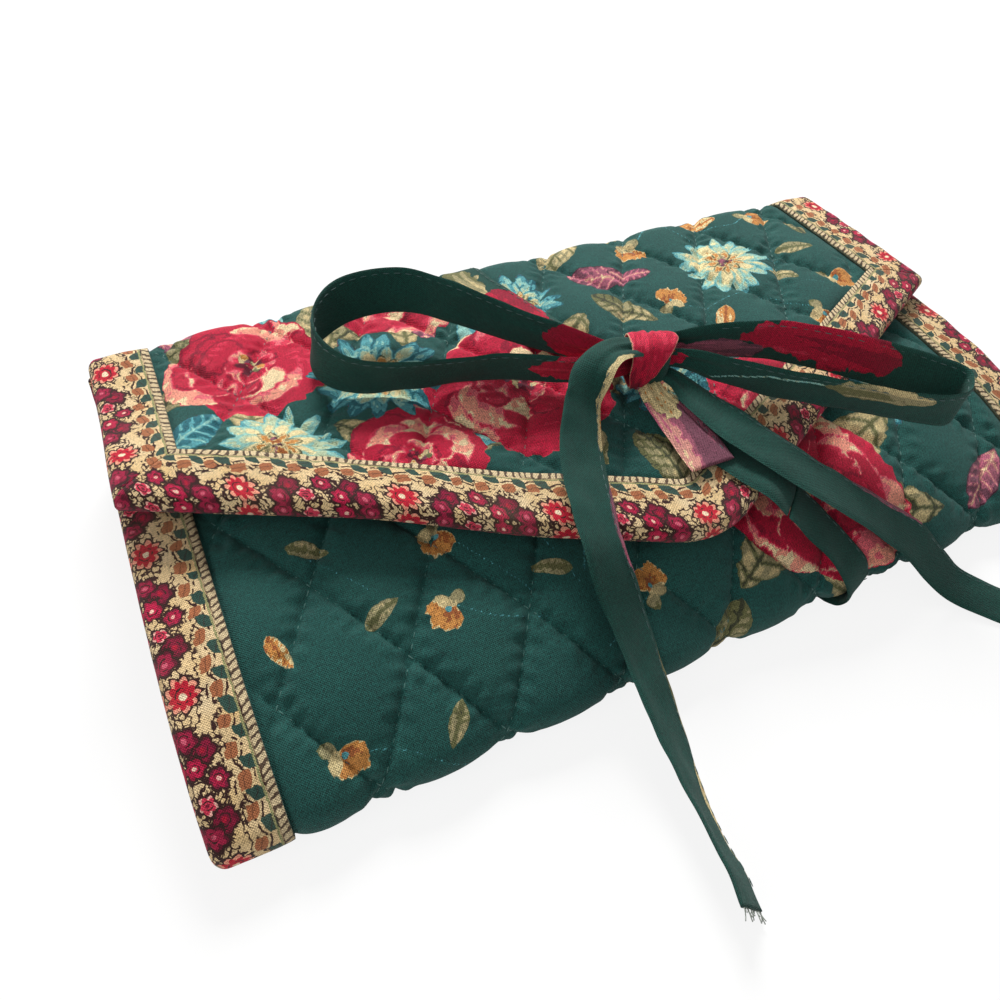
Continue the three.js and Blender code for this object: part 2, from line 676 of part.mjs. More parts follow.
function flapPrism(inset) {
  const right = slantPoints(inset, 1);
  const left = right.slice(0, -1).reverse();
  const { cornerX } = flapEdge(inset);
  const outline = [
    new THREE.Vector2(cornerX, DEPTH),
    ...right,
    ...left.map((point) => new THREE.Vector2(-point.x, point.y)),
    new THREE.Vector2(-cornerX, DEPTH),
  ];
  const options = { depth: LENGTH, bevelEnabled: false };
  return toSolid(new THREE.ExtrudeGeometry(new THREE.Shape(outline), options));
}

function flapCover() {
  const rows = profileRows(flap, 0, flap.total);
  const raised = sheetSolid(flap, rows, quiltColumns(FLAP_HALF), puffAt, COVER_INNER);
  const bound = plainSheet(flap, flap.total, FLAP_HALF, RECESS, COVER_INNER);
  return raised.intersect(flapPrism(TRIM + CLEAR)).add(bound.intersect(flapPrism(FLAP_CLOTH)));
}

function flapLayer(outer, inner) {
  return plainSheet(flap, flap.total, FLAP_HALF, outer, inner).intersect(flapPrism(FLAP_CLOTH));
}

const FLAP_SECTION = foldedSection(TRIM, UNDER_TRIM, EDGE_WALL);

function flapSideBinding(side) {
  const ends = FLAP_SECTION.map(([inset, offset]) => flapLength(flapEdge(inset).cornerY, offset));
  const shares = [0, 0.04, 0.08, 0.12, 0.16, 0.4, 0.7, 1];
  const rings = shares.map((share) =>
    FLAP_SECTION.map(([inset, offset], k) => {
      const s = share * (ends[k] - CLEAR);
      return pointOn(flap, side * (FLAP_HALF - inset), s, offset);
    }),
  );
  return toSolid(skin(rings));
}

function flapSlantBinding(side) {
  const steps = 4;
  const lines = FLAP_SECTION.map(([inset]) => slantPoints(inset, steps));
  const rings = lines[0].map((_, i) =>
    FLAP_SECTION.map(([, offset], k) => {
      const { x, y } = lines[k][i];
      const s = flapLength(y, offset);
      return pointOn(flap, side * Math.max(x, CLEAR / 2), s, offset);
    }),
  );
  return toSolid(skin(rings));
}

// Inner pocket and zip
const FLOOR = PUFF - LINING_INNER + CLEAR;
const COIL_TOP = FLOOR + COIL_HEIGHT;
const SLIDER_TOP = COIL_TOP + CLEAR + SLIDER_PLATE;
const BORE_RADIUS = PIN_RADIUS + CLEAR;
const BARREL_RADIUS = BORE_RADIUS + BARREL_WALL;
const PIN_Z = SLIDER_TOP + BARREL_RADIUS + CLEAR;
const TAPE_HALF = POCKET_HALF + CLEAR + STOP_LENGTH;

function tapeGeometry(side) {
  const near = ZIP_Y + side * (COIL_WIDTH / 2 + CLEAR);
  const far = near + side * TAPE_WIDTH;
  const [low, high] = [Math.min(near, far), Math.max(near, far)];
  return boxGeometry([-TAPE_HALF, low, FLOOR], [TAPE_HALF, high, FLOOR + TAPE]);
}

function pocketGeometry() {
  const low = FLOOR + TAPE + CLEAR;
  const rear = ZIP_Y - COIL_WIDTH / 2 - CLEAR - TAPE_WIDTH + POCKET_LAP;
  return boxGeometry([-POCKET_HALF, POCKET_FRONT_Y, low], [POCKET_HALF, rear, low + TAPE]);
}

function coilGeometry() {
  const outline = [];
  const count = Math.round((2 * POCKET_HALF) / COIL_PITCH);
  const pitch = (2 * POCKET_HALF) / count;
  const [near, far] = [COIL_WIDTH / 2 - COIL_NOTCH, COIL_WIDTH / 2];
  for (let i = 0; i < count; i++) {
    const x = -POCKET_HALF + i * pitch;
    outline.push(new THREE.Vector2(x, -near), new THREE.Vector2(x + pitch / 2, -far));
  }
  outline.push(new THREE.Vector2(POCKET_HALF, -near), new THREE.Vector2(POCKET_HALF, near));
  for (let i = count - 1; i >= 0; i--) {
    const x = -POCKET_HALF + i * pitch;
    outline.push(new THREE.Vector2(x + pitch / 2, far), new THREE.Vector2(x, near));
  }
  const options = { depth: COIL_HEIGHT, bevelEnabled: false };
  const geometry = new THREE.ExtrudeGeometry(new THREE.Shape(outline), options);
  return geometry.translate(0, ZIP_Y, FLOOR);
}

function stopGeometry(side) {
  const near = side * (POCKET_HALF + CLEAR);
  const far = side * TAPE_HALF;
  const half = COIL_WIDTH / 2;
  return boxGeometry(
    [Math.min(near, far), ZIP_Y - half, FLOOR],
    [Math.max(near, far), ZIP_Y + half, COIL_TOP + CLEAR],
  );
}

// The slider is modelled about the middle of its length, over the coil, with its pull's pin.
function sliderSolid() {
  const half = SLIDER_LENGTH / 2;
  const side = [
    [-half, COIL_WIDTH / 2 + SLIDER_REACH.tail],
    [half / 3, COIL_WIDTH / 2 + SLIDER_REACH.shoulder],
    [half, COIL_WIDTH / 2 + SLIDER_REACH.nose],
  ];
  const outline = [
    ...side.map(([x, y]) => new THREE.Vector2(x, -y)),
    ...side.reverse().map(([x, y]) => new THREE.Vector2(x, y)),
  ];
  const base = FLOOR + TAPE + CLEAR;
  const options = { depth: SLIDER_TOP - base, bevelEnabled: false };
  const block = new THREE.ExtrudeGeometry(new THREE.Shape(outline), options);
  block.translate(0, 0, base);
  const gap = COIL_WIDTH / 2 + CLEAR;
  const tunnel = boxGeometry([-LENGTH, -gap, 0], [LENGTH, gap, COIL_TOP + CLEAR]);
  let slider = toSolid(block).subtract(toSolid(tunnel));
  const earInner = PULL_WIDTH / 2 + CLEAR;
  const earOuter = earInner + EAR_WIDTH;
  for (const side of [-1, 1]) {
    const [low, high] = [side * earInner, side * earOuter].sort((a, b) => a - b);
    const ear = new THREE.CylinderGeometry(EAR_RADIUS, EAR_RADIUS, high - low, 16);
    ear.translate(0, (low + high) / 2, PIN_Z);
    const foot = boxGeometry([-EAR_RADIUS, low, SLIDER_TOP - LAP], [EAR_RADIUS, high, PIN_Z]);
    slider = slider.add(toSolid(ear)).add(toSolid(foot));
  }
  const pin = new THREE.CylinderGeometry(PIN_RADIUS, PIN_RADIUS, 2 * (earInner + LAP), 16);
  pin.translate(0, 0, PIN_Z);
  return slider.add(toSolid(pin));
}

// The pull hangs from the pin and lies forward, tilted down towards the coil.
function pullSolid() {
  const barrel = new THREE.CylinderGeometry(BARREL_RADIUS, BARREL_RADIUS, PULL_WIDTH, 20);
  const hole = new THREE.CylinderGeometry(BORE_RADIUS, BORE_RADIUS, PULL_WIDTH + 1, 20);
  const half = PULL_THICKNESS / 2;
  const plate = boxGeometry([0, -PULL_WIDTH / 2, -half], [PULL_LENGTH, PULL_WIDTH / 2, half]);
  const { radius, inset } = PULL_EYE;
  const eye = new THREE.CylinderGeometry(radius, radius, 3 * PULL_THICKNESS, 16);
  eye.rotateX(Math.PI / 2);
  eye.translate(PULL_LENGTH - inset, 0, 0);
  return toSolid(barrel).add(toSolid(plate)).subtract(toSolid(hole)).subtract(toSolid(eye));
}

// Materials
const paints = {
  cover: { color: 0x1d463f, roughness: 0.9 },
  trim: { color: 0xcdb189, roughness: 0.9 },
  tie: { color: 0x1b4a41, roughness: 0.85 },
  red: { color: 0xa81f37, roughness: 0.85 },
  batting: { color: 0xe9e4d8, roughness: 1 },
  lining: { color: 0x2a5a50, roughness: 0.9 },
  tape: { color: 0x1f3f39, roughness: 0.8 },
  coil: { color: 0x24312f, roughness: 0.5 },
  brass: { color: 0xb08d4c, roughness: 0.35, metalness: 1 },
};
const materials = {};
for (const [name, settings] of Object.entries(paints)) {
  materials[name] = new THREE.MeshStandardMaterial(settings);
}

function addMesh(group, name, geometry, material) {
  const mesh = new THREE.Mesh(geometry, materials[material]);
  mesh.name = name;
  group.add(mesh);
  return mesh;
}

const pouch = new THREE.Group();

const bodyGroup = new THREE.Group();
const bodySolids = {
  body_cover: [bodyCover(), "cover"],
  body_batting: [plainSheet(body, PANEL_END, BODY_HALF, BATTING_OUTER, BATTING_INNER), "batting"],
  body_lining: [plainSheet(body, PANEL_END, BODY_HALF, LINING_OUTER, LINING_INNER), "lining"],
  side_binding_left: [sideBinding(-1), "trim"],
  side_binding_right: [sideBinding(1), "trim"],
  mouth_binding: [mouthBinding(), "trim"],
  tie_wrap_front: [tiePiece("tie_wrap_front"), "tie"],
  tie_wrap_under: [tiePiece("tie_wrap_under"), "tie"],
  tie_wrap_rear: [tiePiece("tie_wrap_rear"), "tie"],
};
for (const [name, [solid, material]] of Object.entries(bodySolids)) {
  addMesh(bodyGroup, name, toGeometry(solid), material);
}
addMesh(bodyGroup, "pocket_panel", pocketGeometry(), "lining");
addMesh(bodyGroup, "zip_tape_front", tapeGeometry(-1), "tape");
addMesh(bodyGroup, "zip_tape_rear", tapeGeometry(1), "tape");
addMesh(bodyGroup, "zip_coil", coilGeometry(), "coil");
addMesh(bodyGroup, "zip_stop_left", stopGeometry(-1), "brass");
addMesh(bodyGroup, "zip_stop_right", stopGeometry(1), "brass");
pouch.add(bodyGroup);

const sliderGroup = new THREE.Group();
sliderGroup.position.set(SLIDER_X, ZIP_Y, 0);
addMesh(sliderGroup, "zip_slider", toGeometry(sliderSolid()), "brass");
const pull = addMesh(sliderGroup, "zip_pull", toGeometry(pullSolid()), "brass");
pull.position.z = PIN_Z;
pull.rotation.y = PULL_TILT;
pouch.add(sliderGroup);

const flapGroup = new THREE.Group();
const flapSolids = {
  flap_cover: [flapCover(), "cover"],
  flap_batting: [flapLayer(BATTING_OUTER, BATTING_INNER), "batting"],
  flap_lining: [flapLayer(LINING_OUTER, LINING_INNER), "lining"],
  flap_binding_side_left: [flapSideBinding(-1), "trim"],
  flap_binding_side_right: [flapSideBinding(1), "trim"],
  flap_binding_slant_left: [flapSlantBinding(-1), "trim"],
  flap_binding_slant_right: [flapSlantBinding(1), "trim"],
  tie_knot: [knotSolid(0), "red"],
};
const ridingTies = [
  "tie_rise",
  "tie_wrap_start",
  "tie_wrap_top",
  "bow_loop_left",
  "bow_loop_right",
  "tie_tail_left",
  "tie_tail_right",
];
for (const name of ridingTies) flapSolids[name] = [tiePiece(name), "tie"];
for (const [name, [solid, material]] of Object.entries(flapSolids)) {
  addMesh(flapGroup, name, toGeometry(solid), material);
}
pouch.add(flapGroup);

export default pouch;
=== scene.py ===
import math

import bpy
import numpy as np
from mathutils import Matrix, Vector


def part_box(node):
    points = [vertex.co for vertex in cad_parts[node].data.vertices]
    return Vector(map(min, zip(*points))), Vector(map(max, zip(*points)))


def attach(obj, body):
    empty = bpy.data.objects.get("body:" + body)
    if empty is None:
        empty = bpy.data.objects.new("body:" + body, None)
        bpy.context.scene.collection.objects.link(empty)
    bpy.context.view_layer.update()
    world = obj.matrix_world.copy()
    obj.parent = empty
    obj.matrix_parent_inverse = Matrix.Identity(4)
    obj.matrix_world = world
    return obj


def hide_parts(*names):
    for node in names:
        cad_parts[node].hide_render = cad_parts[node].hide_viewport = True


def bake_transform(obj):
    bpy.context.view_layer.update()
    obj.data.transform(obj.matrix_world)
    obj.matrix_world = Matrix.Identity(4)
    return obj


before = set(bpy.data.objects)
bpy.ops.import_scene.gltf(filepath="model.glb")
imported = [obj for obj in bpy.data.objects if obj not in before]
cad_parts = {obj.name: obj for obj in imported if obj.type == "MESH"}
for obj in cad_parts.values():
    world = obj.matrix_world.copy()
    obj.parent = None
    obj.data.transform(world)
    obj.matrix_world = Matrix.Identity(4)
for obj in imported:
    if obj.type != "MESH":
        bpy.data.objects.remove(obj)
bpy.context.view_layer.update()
print("frame loaded:", len(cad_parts), "nodes")

scene = bpy.context.scene
scene.view_settings.view_transform = "Standard"

# Camera at the photograph's viewing angle, in metres and degrees
cameraLook = {
    "place": (-0.102476, -0.130445, 0.167794), "yaw": 28.4718, "pitch": 47.8668, "roll": 3.1887,
    "lens": 27.4925, "sensor": 36, "nearest": 0.005,
}


# An object at the origin that holds mesh, lamp or camera data
def addObject(name, data):
    made = bpy.data.objects.new(name, data)
    scene.collection.objects.link(made)
    return made


def placeCamera(look):
    yaw, pitch, roll = (math.radians(look[k]) for k in ("yaw", "pitch", "roll"))
    forward = Vector((math.sin(yaw) * math.cos(pitch), math.cos(yaw) * math.cos(pitch), -math.sin(pitch)))
    level = Vector((math.cos(yaw), -math.sin(yaw), 0))
    above = level.cross(forward)
    right = level * math.cos(roll) + above * math.sin(roll)
    up = above * math.cos(roll) - level * math.sin(roll)
    camera = bpy.data.cameras.new("camera")
    camera.lens = look["lens"]
    camera.sensor_width = look["sensor"]
    camera.clip_start = look["nearest"]
    turn = Matrix((right, up, -forward)).transposed().to_4x4()
    scene.camera = addObject("camera", camera)
    scene.camera.matrix_world = Matrix.Translation(look["place"]) @ turn


placeCamera(cameraLook)
print("camera placed")


# Shader graphs, with colours given as hex codes of what is seen
def rgba(code):
    parts = [int(code[i : i + 2], 16) / 255 for i in (0, 2, 4)]
    return (*(c / 12.92 if c < 0.04045 else ((c + 0.055) / 1.055) ** 2.4 for c in parts), 1)


class Wire:
    # One output socket, with arithmetic that adds Math nodes
    def __init__(self, graph, socket):
        self.graph = graph
        self.socket = socket

    def maths(self, operation, *others):
        return self.graph.node("Math", {"operation": operation}, [self, *others])

    def __add__(self, other):
        return self.maths("ADD", other)

    __radd__ = __add__

    def __sub__(self, other):
        return self.maths("SUBTRACT", other)

    def __rsub__(self, other):
        return self.graph.node("Math", {"operation": "SUBTRACT"}, [other, self])

    def __mul__(self, other):
        return self.maths("MULTIPLY", other)

    __rmul__ = __mul__

    def __truediv__(self, other):
        return self.maths("DIVIDE", other)

    def __abs__(self):
        return self.maths("ABSOLUTE")

    def sin(self):
        return self.maths("SINE")

    def floor(self):
        return self.maths("FLOOR")

    def most(self, other):
        return self.maths("MAXIMUM", other)

    # Another output of the same node
    def other(self, out):
        return Wire(self.graph, self.socket.node.outputs[out])

    # 0 to 1 as the value goes from low to high
    def rise(self, low, high):
        values = {"Value": self, "From Min": low, "From Max": high}
        settings = {"interpolation_type": "SMOOTHSTEP", "clamp": True}
        return self.graph.node("MapRange", settings, values)

    # 1 to 0 as the value goes from low to high
    def fall(self, low, high):
        return 1 - self.rise(low, high)


class Graph:
    # The node tree of a material, or of the world where that is given
    def __init__(self, name, owner=None):
        self.owner = owner or bpy.data.materials.new(name)
        self.owner.use_nodes = True
        self.tree = self.owner.node_tree
        self.tree.nodes.clear()

    def node(self, kind, settings=None, values=(), out=0):
        made = self.tree.nodes.new("ShaderNode" + kind)
        for key, value in (settings or {}).items():
            if key == "stops":
                ramp = made.color_ramp
                ramp.interpolation = "CONSTANT"
                ramp.elements.remove(ramp.elements[1])
                ramp.elements[0].position, ramp.elements[0].color = value[0]
                for place, colour in value[1:]:
                    ramp.elements.new(place).color = colour
            else:
                setattr(made, key, value)
        pairs = values.items() if isinstance(values, dict) else enumerate(values)
        for key, value in pairs:
            if isinstance(value, Wire):
                self.tree.links.new(value.socket, made.inputs[key])
            elif value is not None:
                made.inputs[key].default_value = value
        return Wire(self, made.outputs[out]) if len(made.outputs) else None

    # Each colour is a link or a hex code
    def mix(self, factor, a, b, blend="MIX"):
        a, b = (rgba(colour) if isinstance(colour, str) else colour for colour in (a, b))
        settings = {"data_type": "RGBA", "blend_type": blend}
        return self.node("Mix", settings, {0: factor, 6: a, 7: b}, out=2)

    def noise(self, vector, scale, detail=2.0):
        values = {"Vector": vector, "Scale": scale, "Detail": detail, "Roughness": 0.5}
        return self.node("TexNoise", None, values)

    def mapped(self, vector, scale, turn=(0, 0, 0)):
        return self.node("Mapping", None, {"Vector": vector, "Rotation": turn, "Scale": scale})

    def bump(self, strength, distance, height):
        return self.node("Bump", None, {"Strength": strength, "Distance": distance, "Height": height})

    # Place on the piece in metres, for what isn't cloth
    def objectPlace(self):
        return self.node("TexCoord").other("Object")

    def axis(self, vector, number):
        return self.node("SeparateXYZ", None, [vector], out=number)

    # The cloth's own place in millimetres, from the UV map: along x and along the grain
    def clothPlace(self):
        place = self.node("UVMap", {"uv_map": "cloth"})
        return place, self.axis(place, 0) * 100, self.axis(place, 1) * 100

    # The four numbers that a colour attribute carries
    def carried(self, attribute):
        colour = self.node("Attribute", {"attribute_name": attribute})
        parts = self.node("SeparateColor", None, [colour])
        return parts, parts.other(1), parts.other(2), colour.other(3)

    def finish(self, settings):
        self.node("OutputMaterial", None, [self.node("BsdfPrincipled", None, settings)])
        return self.owner


# Cotton as every cloth here has it, with the scales of its uneven yarn per map unit of 0.1 m
cottonLook = {
    "yarnAcross": (300, 55, 1), "yarnAlong": (55, 300, 1), "speck": (340, 190, 1),
    "speckTurn": (0, 0, 0.7), "cloud": 3.5, "fading": 0.35, "threadHeight": 0.35, "yarnHeight": 1.3,
    "spread": 0.2, "sheenRoughness": 0.5, "gloss": 0.25,
}


# Plain weave: threads that cross over and under, with uneven yarn
def weave(graph, place, u, v, pitch):
    turn = 2 * math.pi / pitch
    checks = (u * turn).sin() * (v * turn).sin()
    across = graph.noise(graph.mapped(place, cottonLook["yarnAcross"]), 1.0)
    along = graph.noise(graph.mapped(place, cottonLook["yarnAlong"]), 1.0)
    speck = graph.noise(graph.mapped(place, cottonLook["speck"], cottonLook["speckTurn"]), 1.0, 1.0)
    return checks, (across + along + speck * 2) * 0.25


# A cloth material over a colour that is a link of its own graph, or a hex code
def clothMaterial(name, colour, look):
    graph = colour.graph if isinstance(colour, Wire) else Graph(name)
    place, u, v = graph.clothPlace()
    checks, yarn = weave(graph, place, u, v, look["thread"])
    base = colour if isinstance(colour, Wire) else graph.mix(0.0, colour, colour)
    shade = checks * look["checks"] + (yarn - 0.5) * look["yarn"] + 1.0
    tone = graph.node("CombineXYZ", None, [shade, shade, shade])
    base = graph.mix(1.0, base, tone, "MULTIPLY")
    cloud = graph.noise(place, cottonLook["cloud"], 3.0)
    base = graph.mix((cloud - 0.5) * cottonLook["fading"], base, look["fade"])
    height = checks * cottonLook["threadHeight"] + yarn * cottonLook["yarnHeight"]
    values = {
        "Base Color": base,
        "Roughness": yarn * cottonLook["spread"] + look["roughness"],
        "Normal": graph.bump(1.0, look["relief"], height),
        "Sheen Weight": look["sheen"],
        "Sheen Roughness": cottonLook["sheenRoughness"],
        "Specular IOR Level": cottonLook["gloss"],
    }
    return graph.finish(values)


# Printed inks, each with its colours by tone from 0 to 1
inks = {
    "leaf": "0.0 3b3d2b 0.14 63633f 0.34 8f8763 0.54 bba97b 0.7 d0bd8c 0.82 bd8142 0.92 94542c",
    "warm": "0.0 560a20 0.13 8a0f2c 0.28 ad1434 0.5 c22a45 0.66 d2606a 0.78 dc8f7a 0.88 dcc49a",
    "dusk": "0.0 3f172a 0.18 6a3d4c 0.4 8f4f60 0.58 ae5a70 0.74 c2877c 0.88 d8bd94",
    "cool": "0.0 5a2438 0.1 24606a 0.24 4f9298 0.4 85b5ab 0.54 a9b898 0.68 d9c896 0.86 c28a4c",
}
inkNames = list(inks)
printLook = {"pixel": 0.36, "halfWidth": 134.0, "low": -300.0, "high": 140.0, "seed": 11, "stem": 0.42}


# The stops of an ink's ramp: places and colours in turn
def inkStops(ink):
    words = inks[ink].split()
    return [(float(spot), rgba(code)) for spot, code in zip(words[::2], words[1::2])]


def softNoise(height, width, cell, seed):
    rng = np.random.default_rng(seed)
    rows, columns = int(height / cell) + 3, int(width / cell) + 3
    grid = rng.random((rows, columns))
    y, x = np.arange(height) / cell, np.arange(width) / cell
    i, j = y.astype(int), x.astype(int)
    fy, fx = y - i, x - j
    fy, fx = fy * fy * (3 - 2 * fy), fx * fx * (3 - 2 * fx)
    a = grid[i][:, j] * (1 - fx) + grid[i][:, j + 1] * fx
    b = grid[i + 1][:, j] * (1 - fx) + grid[i + 1][:, j + 1] * fx
    return a * (1 - fy[:, None]) + b * fy[:, None]


# How a petal is drawn where its flower doesn't say: tones of its edge and vein, the place of its
# widest part, streaks, torn outline, rim in millimetres and notched tip
petalLook = {"edge": None, "vein": None, "belly": 0.7, "streak": 0.7, "ragged": 0.1, "rim": 0.5, "notch": 0.0}

# A full bloom, from outside in: share of the radius, petals, their width and the tones to choose from
bloomLook = {
    "layers": [
        (1.0, 7, 0.95, ["0.3 0.34 0.3 0.3", "0.3 0.36 0.66 0.92", "0.14 0.3 0.3 0.5", "0.5 0.66 0.8 0.92"]),
        (0.78, 6, 0.74, ["0.14 0.3 0.3 0.5", "0.3 0.5 0.8 0.92", "0.0 0.14 0.3 0.3"]),
        (0.54, 5, 0.56, ["0.0 0.14 0.5 0.9", "0.14 0.3 0.3 0.66", "0.66 0.8 0.92 0.92"]),
        (0.32, 5, 0.32, ["0.0 0.1 0.5 0.8", "0.0 0.3 0.7 0.95"]),
    ],
    "petal": {"belly": 0.82, "streak": 0.45, "ragged": 0.06, "notch": 0.12},
    "edges": (0.14, 0.55, 0.92),
    "heart": [("leaf", 0.2), ("leaf", 0.6), ("dusk", 0.3), ("leaf", 0.9), ("warm", 0.05)],
}
# An aster's rings for a pale and a blue one: petals, reach, width and start by radius, then tones
asterLook = {
    "back": (15, 1.0, 0.27, 0.12, 0.0, 0.76), "front": (13, 0.72, 0.24, 0.1, 0.2, 0.74),
    False: [((0.75, 0.7, 0.6, 0.36), 0.3), ((0.95, 0.78, 0.72, 0.6), 0.42)],
    True: [((0.6, 0.5, 0.36, 0.2), 0.12), ((0.95, 0.75, 0.6, 0.45), 0.15)],
    "heart": [("dusk", 0.1), ("dusk", 0.3), ("dusk", 0.5), ("leaf", 0.95), ("leaf", 0.5)],
}
# Leaves by kind: ink, tones from root to tip, tone of the edge and of the veins
leafLooks = [
    ("leaf", (0.2, 0.4, 0.56, 0.6), 0.16, 0.05),
    ("dusk", (0.25, 0.35, 0.6, 0.8), 0.05, 0.9),
    ("leaf", (0.85, 0.83, 0.72, 0.6), 0.95, 0.95),
    ("cool", (0.15, 0.18, 0.3, 0.5), 0.12, 0.45),
    ("leaf", (0.36, 0.56, 0.6, 0.56), 0.36, 0.15),
]


# The print as fields over the cloth: how far inside an ink's shapes a place lies, and its tone
class Painting:
    def __init__(self, left, low, right, high, pixel, seed):
        self.left, self.low, self.pixel = left, low, pixel
        self.width = int((right - left) / pixel) + 1
        self.height = int((high - low) / pixel) + 1
        self.rng = np.random.default_rng(seed)
        self.wobble = softNoise(self.height, self.width, 2.2 / pixel, seed + 1) - 0.5
        self.wobble += 0.6 * (softNoise(self.height, self.width, 0.9 / pixel, seed + 2) - 0.5)
        self.inside = np.full((self.height, self.width, len(inks)), -3.0)
        self.tone = np.zeros((self.height, self.width, len(inks)))

    # The part of the fields round a place, with each pixel's way from it, empty off the cloth
    def window(self, x, y, reach):
        j0 = max(int((x - reach - self.left) / self.pixel), 0)
        j1 = max(min(int((x + reach - self.left) / self.pixel) + 2, self.width), j0)
        i0 = max(int((y - reach - self.low) / self.pixel), 0)
        i1 = max(min(int((y + reach - self.low) / self.pixel) + 2, self.height), i0)
        xs = self.left + np.arange(j0, j1) * self.pixel - x
        ys = self.low + np.arange(i0, i1) * self.pixel - y
        return (slice(i0, i1), slice(j0, j1)), *np.meshgrid(xs, ys)

    # What is laid last lies on top: it cuts the shapes of the inks that print over its own
    def lay(self, area, ink, room, tone):
        k = inkNames.index(ink)
        held = self.tone[(*area, k)]
        self.tone[(*area, k)] = np.where(room > -0.25, np.clip(tone, 0, 0.999), held)
        self.inside[(*area, k)] = np.maximum(self.inside[(*area, k)], room)
        for above in range(k + 1, len(inks)):
            self.inside[(*area, above)] = np.minimum(self.inside[(*area, above)], -room)

    # A brushed petal, its tone going from root to tip with streaks along it
    def petal(self, x, y, angle, length, width, ink, tones, **look):
        look = {**petalLook, **look}
        area, dx, dy = self.window(x, y, length * 1.15)
        if dx.size == 0:
            return
        wobble = self.wobble[area]
        cos, sin = math.cos(angle), math.sin(angle)
        along = (dx * cos + dy * sin) / length
        bend = self.rng.uniform(-0.3, 0.3)
        across = (-dx * sin + dy * cos) / (width / 2) + bend * (along * 2 - 1) ** 2 - bend
        inside = np.clip(along, 0, 1)
        reach = np.sin(np.pi * inside ** (1 / (2 * (1 - look["belly"]) + 0.4))) ** 0.75
        line = np.interp(across + 0.15 * along, np.linspace(-1.3, 1.3, 16), self.rng.random(16))
        room = (reach + wobble * look["ragged"] * 2 - np.abs(across)) * width / 2
        room = np.minimum(room, (1.0 - look["notch"] * line - along) * length * 0.6)
        room = np.minimum(room, (along + 0.02) * length * 0.6)
        stage = np.clip(inside + (line - 0.5) * look["streak"] + wobble * 0.3, 0, 1)
        tone = np.interp(stage, np.linspace(0, 1, len(tones)), tones)
        if look["vein"] is not None:
            rib = np.abs(across) * width < 0.9
            side = np.abs((along * 7 + np.abs(across) * 1.1) % 1 - 0.5) < 0.1
            tone = np.where(rib | side, look["vein"], tone)
        if look["edge"] is not None:
            tone = np.where(room < look["rim"] * (0.7 + wobble * 1.6), look["edge"], tone)
        self.lay(area, ink, room, tone)

    def dab(self, x, y, size, ink, tone):
        area, dx, dy = self.window(x, y, size * 1.5)
        if dx.size:
            room = size * (0.85 + self.wobble[area] * 0.8) - np.hypot(dx, dy)
            self.lay(area, ink, room, np.full(dx.shape, tone))

    # A thin line along a smoothed path through a few points
    def stem(self, points, width, tone=0.3):
        points = np.array(points, float)
        t = np.linspace(0, len(points) - 1, 70 * len(points))
        k = np.minimum(t.astype(int), len(points) - 2)
        f = (t - k)[:, None]
        path = points[k] * (1 - f) + points[k + 1] * f
        for _ in range(500):
            path[1:-1] = (path[:-2] + path[1:-1] * 2 + path[2:]) / 4
        for x, y in path[::2]:
            area, dx, dy = self.window(x, y, width + 1)
            if dx.size:
                self.lay(area, "cool", width / 2 - np.hypot(dx, dy), np.full(dx.shape, tone))

    def ring(self, x, y, count, radius, width, ink, tones, turn, start, **look):
        for k in self.rng.permutation(count):
            angle = turn + 2 * math.pi * (k + self.rng.uniform(-0.2, 0.2)) / count
            reach = radius * self.rng.uniform(0.84, 1.08)
            x0, y0 = x + math.cos(angle) * start, y + math.sin(angle) * start
            shift = self.rng.uniform(-0.06, 0.06)
            wide = width * self.rng.uniform(0.85, 1.2)
            self.petal(x0, y0, angle, reach - start, wide, ink, [v + shift for v in tones], **look)

    def heart(self, x, y, size, picks):
        for _ in range(22):
            angle, out = self.rng.uniform(0, 2 * math.pi), size * self.rng.random() ** 0.5
            ink, tone = picks[self.rng.integers(len(picks))]
            self.dab(x + math.cos(angle) * out, y + math.sin(angle) * out, size * 0.26, ink, tone)

    # A full bloom: overlapping petals, broad outside, pale and curled inside
    def bloom(self, x, y, radius, turn):
        for share, count, wide, choices in bloomLook["layers"]:
            for k in self.rng.permutation(count):
                angle = turn + share * 3 + 2 * math.pi * (k + self.rng.uniform(-0.25, 0.25)) / count
                reach = radius * share * self.rng.uniform(0.86, 1.08)
                tones = [float(tone) for tone in choices[self.rng.integers(len(choices))].split()]
                edge = bloomLook["edges"][self.rng.integers(len(bloomLook["edges"]))]
                look = dict(bloomLook["petal"], edge=edge)
                self.petal(x, y, angle, reach, radius * wide, "warm", tones, **look)
        self.heart(x, y, radius * 0.15, bloomLook["heart"])

    # An aster: two rings of narrow petals round a small dark heart
    def aster(self, x, y, radius, isBlue, turn):
        for name, (tones, edge) in zip(("back", "front"), asterLook[isBlue]):
            count, reach, wide, start, shift, belly = asterLook[name]
            size = (count, radius * reach, radius * wide)
            look = {"edge": edge, "belly": belly, "notch": 0.1}
            self.ring(x, y, *size, "cool", tones, turn + shift, radius * start, **look)
        tones = (0.95, 0.9, 0.83)
        self.ring(x, y, 9, radius * 0.4, radius * 0.16, "leaf", tones, turn, 0, edge=0.05, rim=0.3)
        self.heart(x, y, radius * 0.16, asterLook["heart"])

    # A bud: a calyx, five ragged petals fanned forward and one turned aside
    def bud(self, x, y, size, angle):
        def petal(turn, length, width, tones, **look):
            self.petal(x, y, angle + turn, size * length, size * width, "leaf", tones, **look)

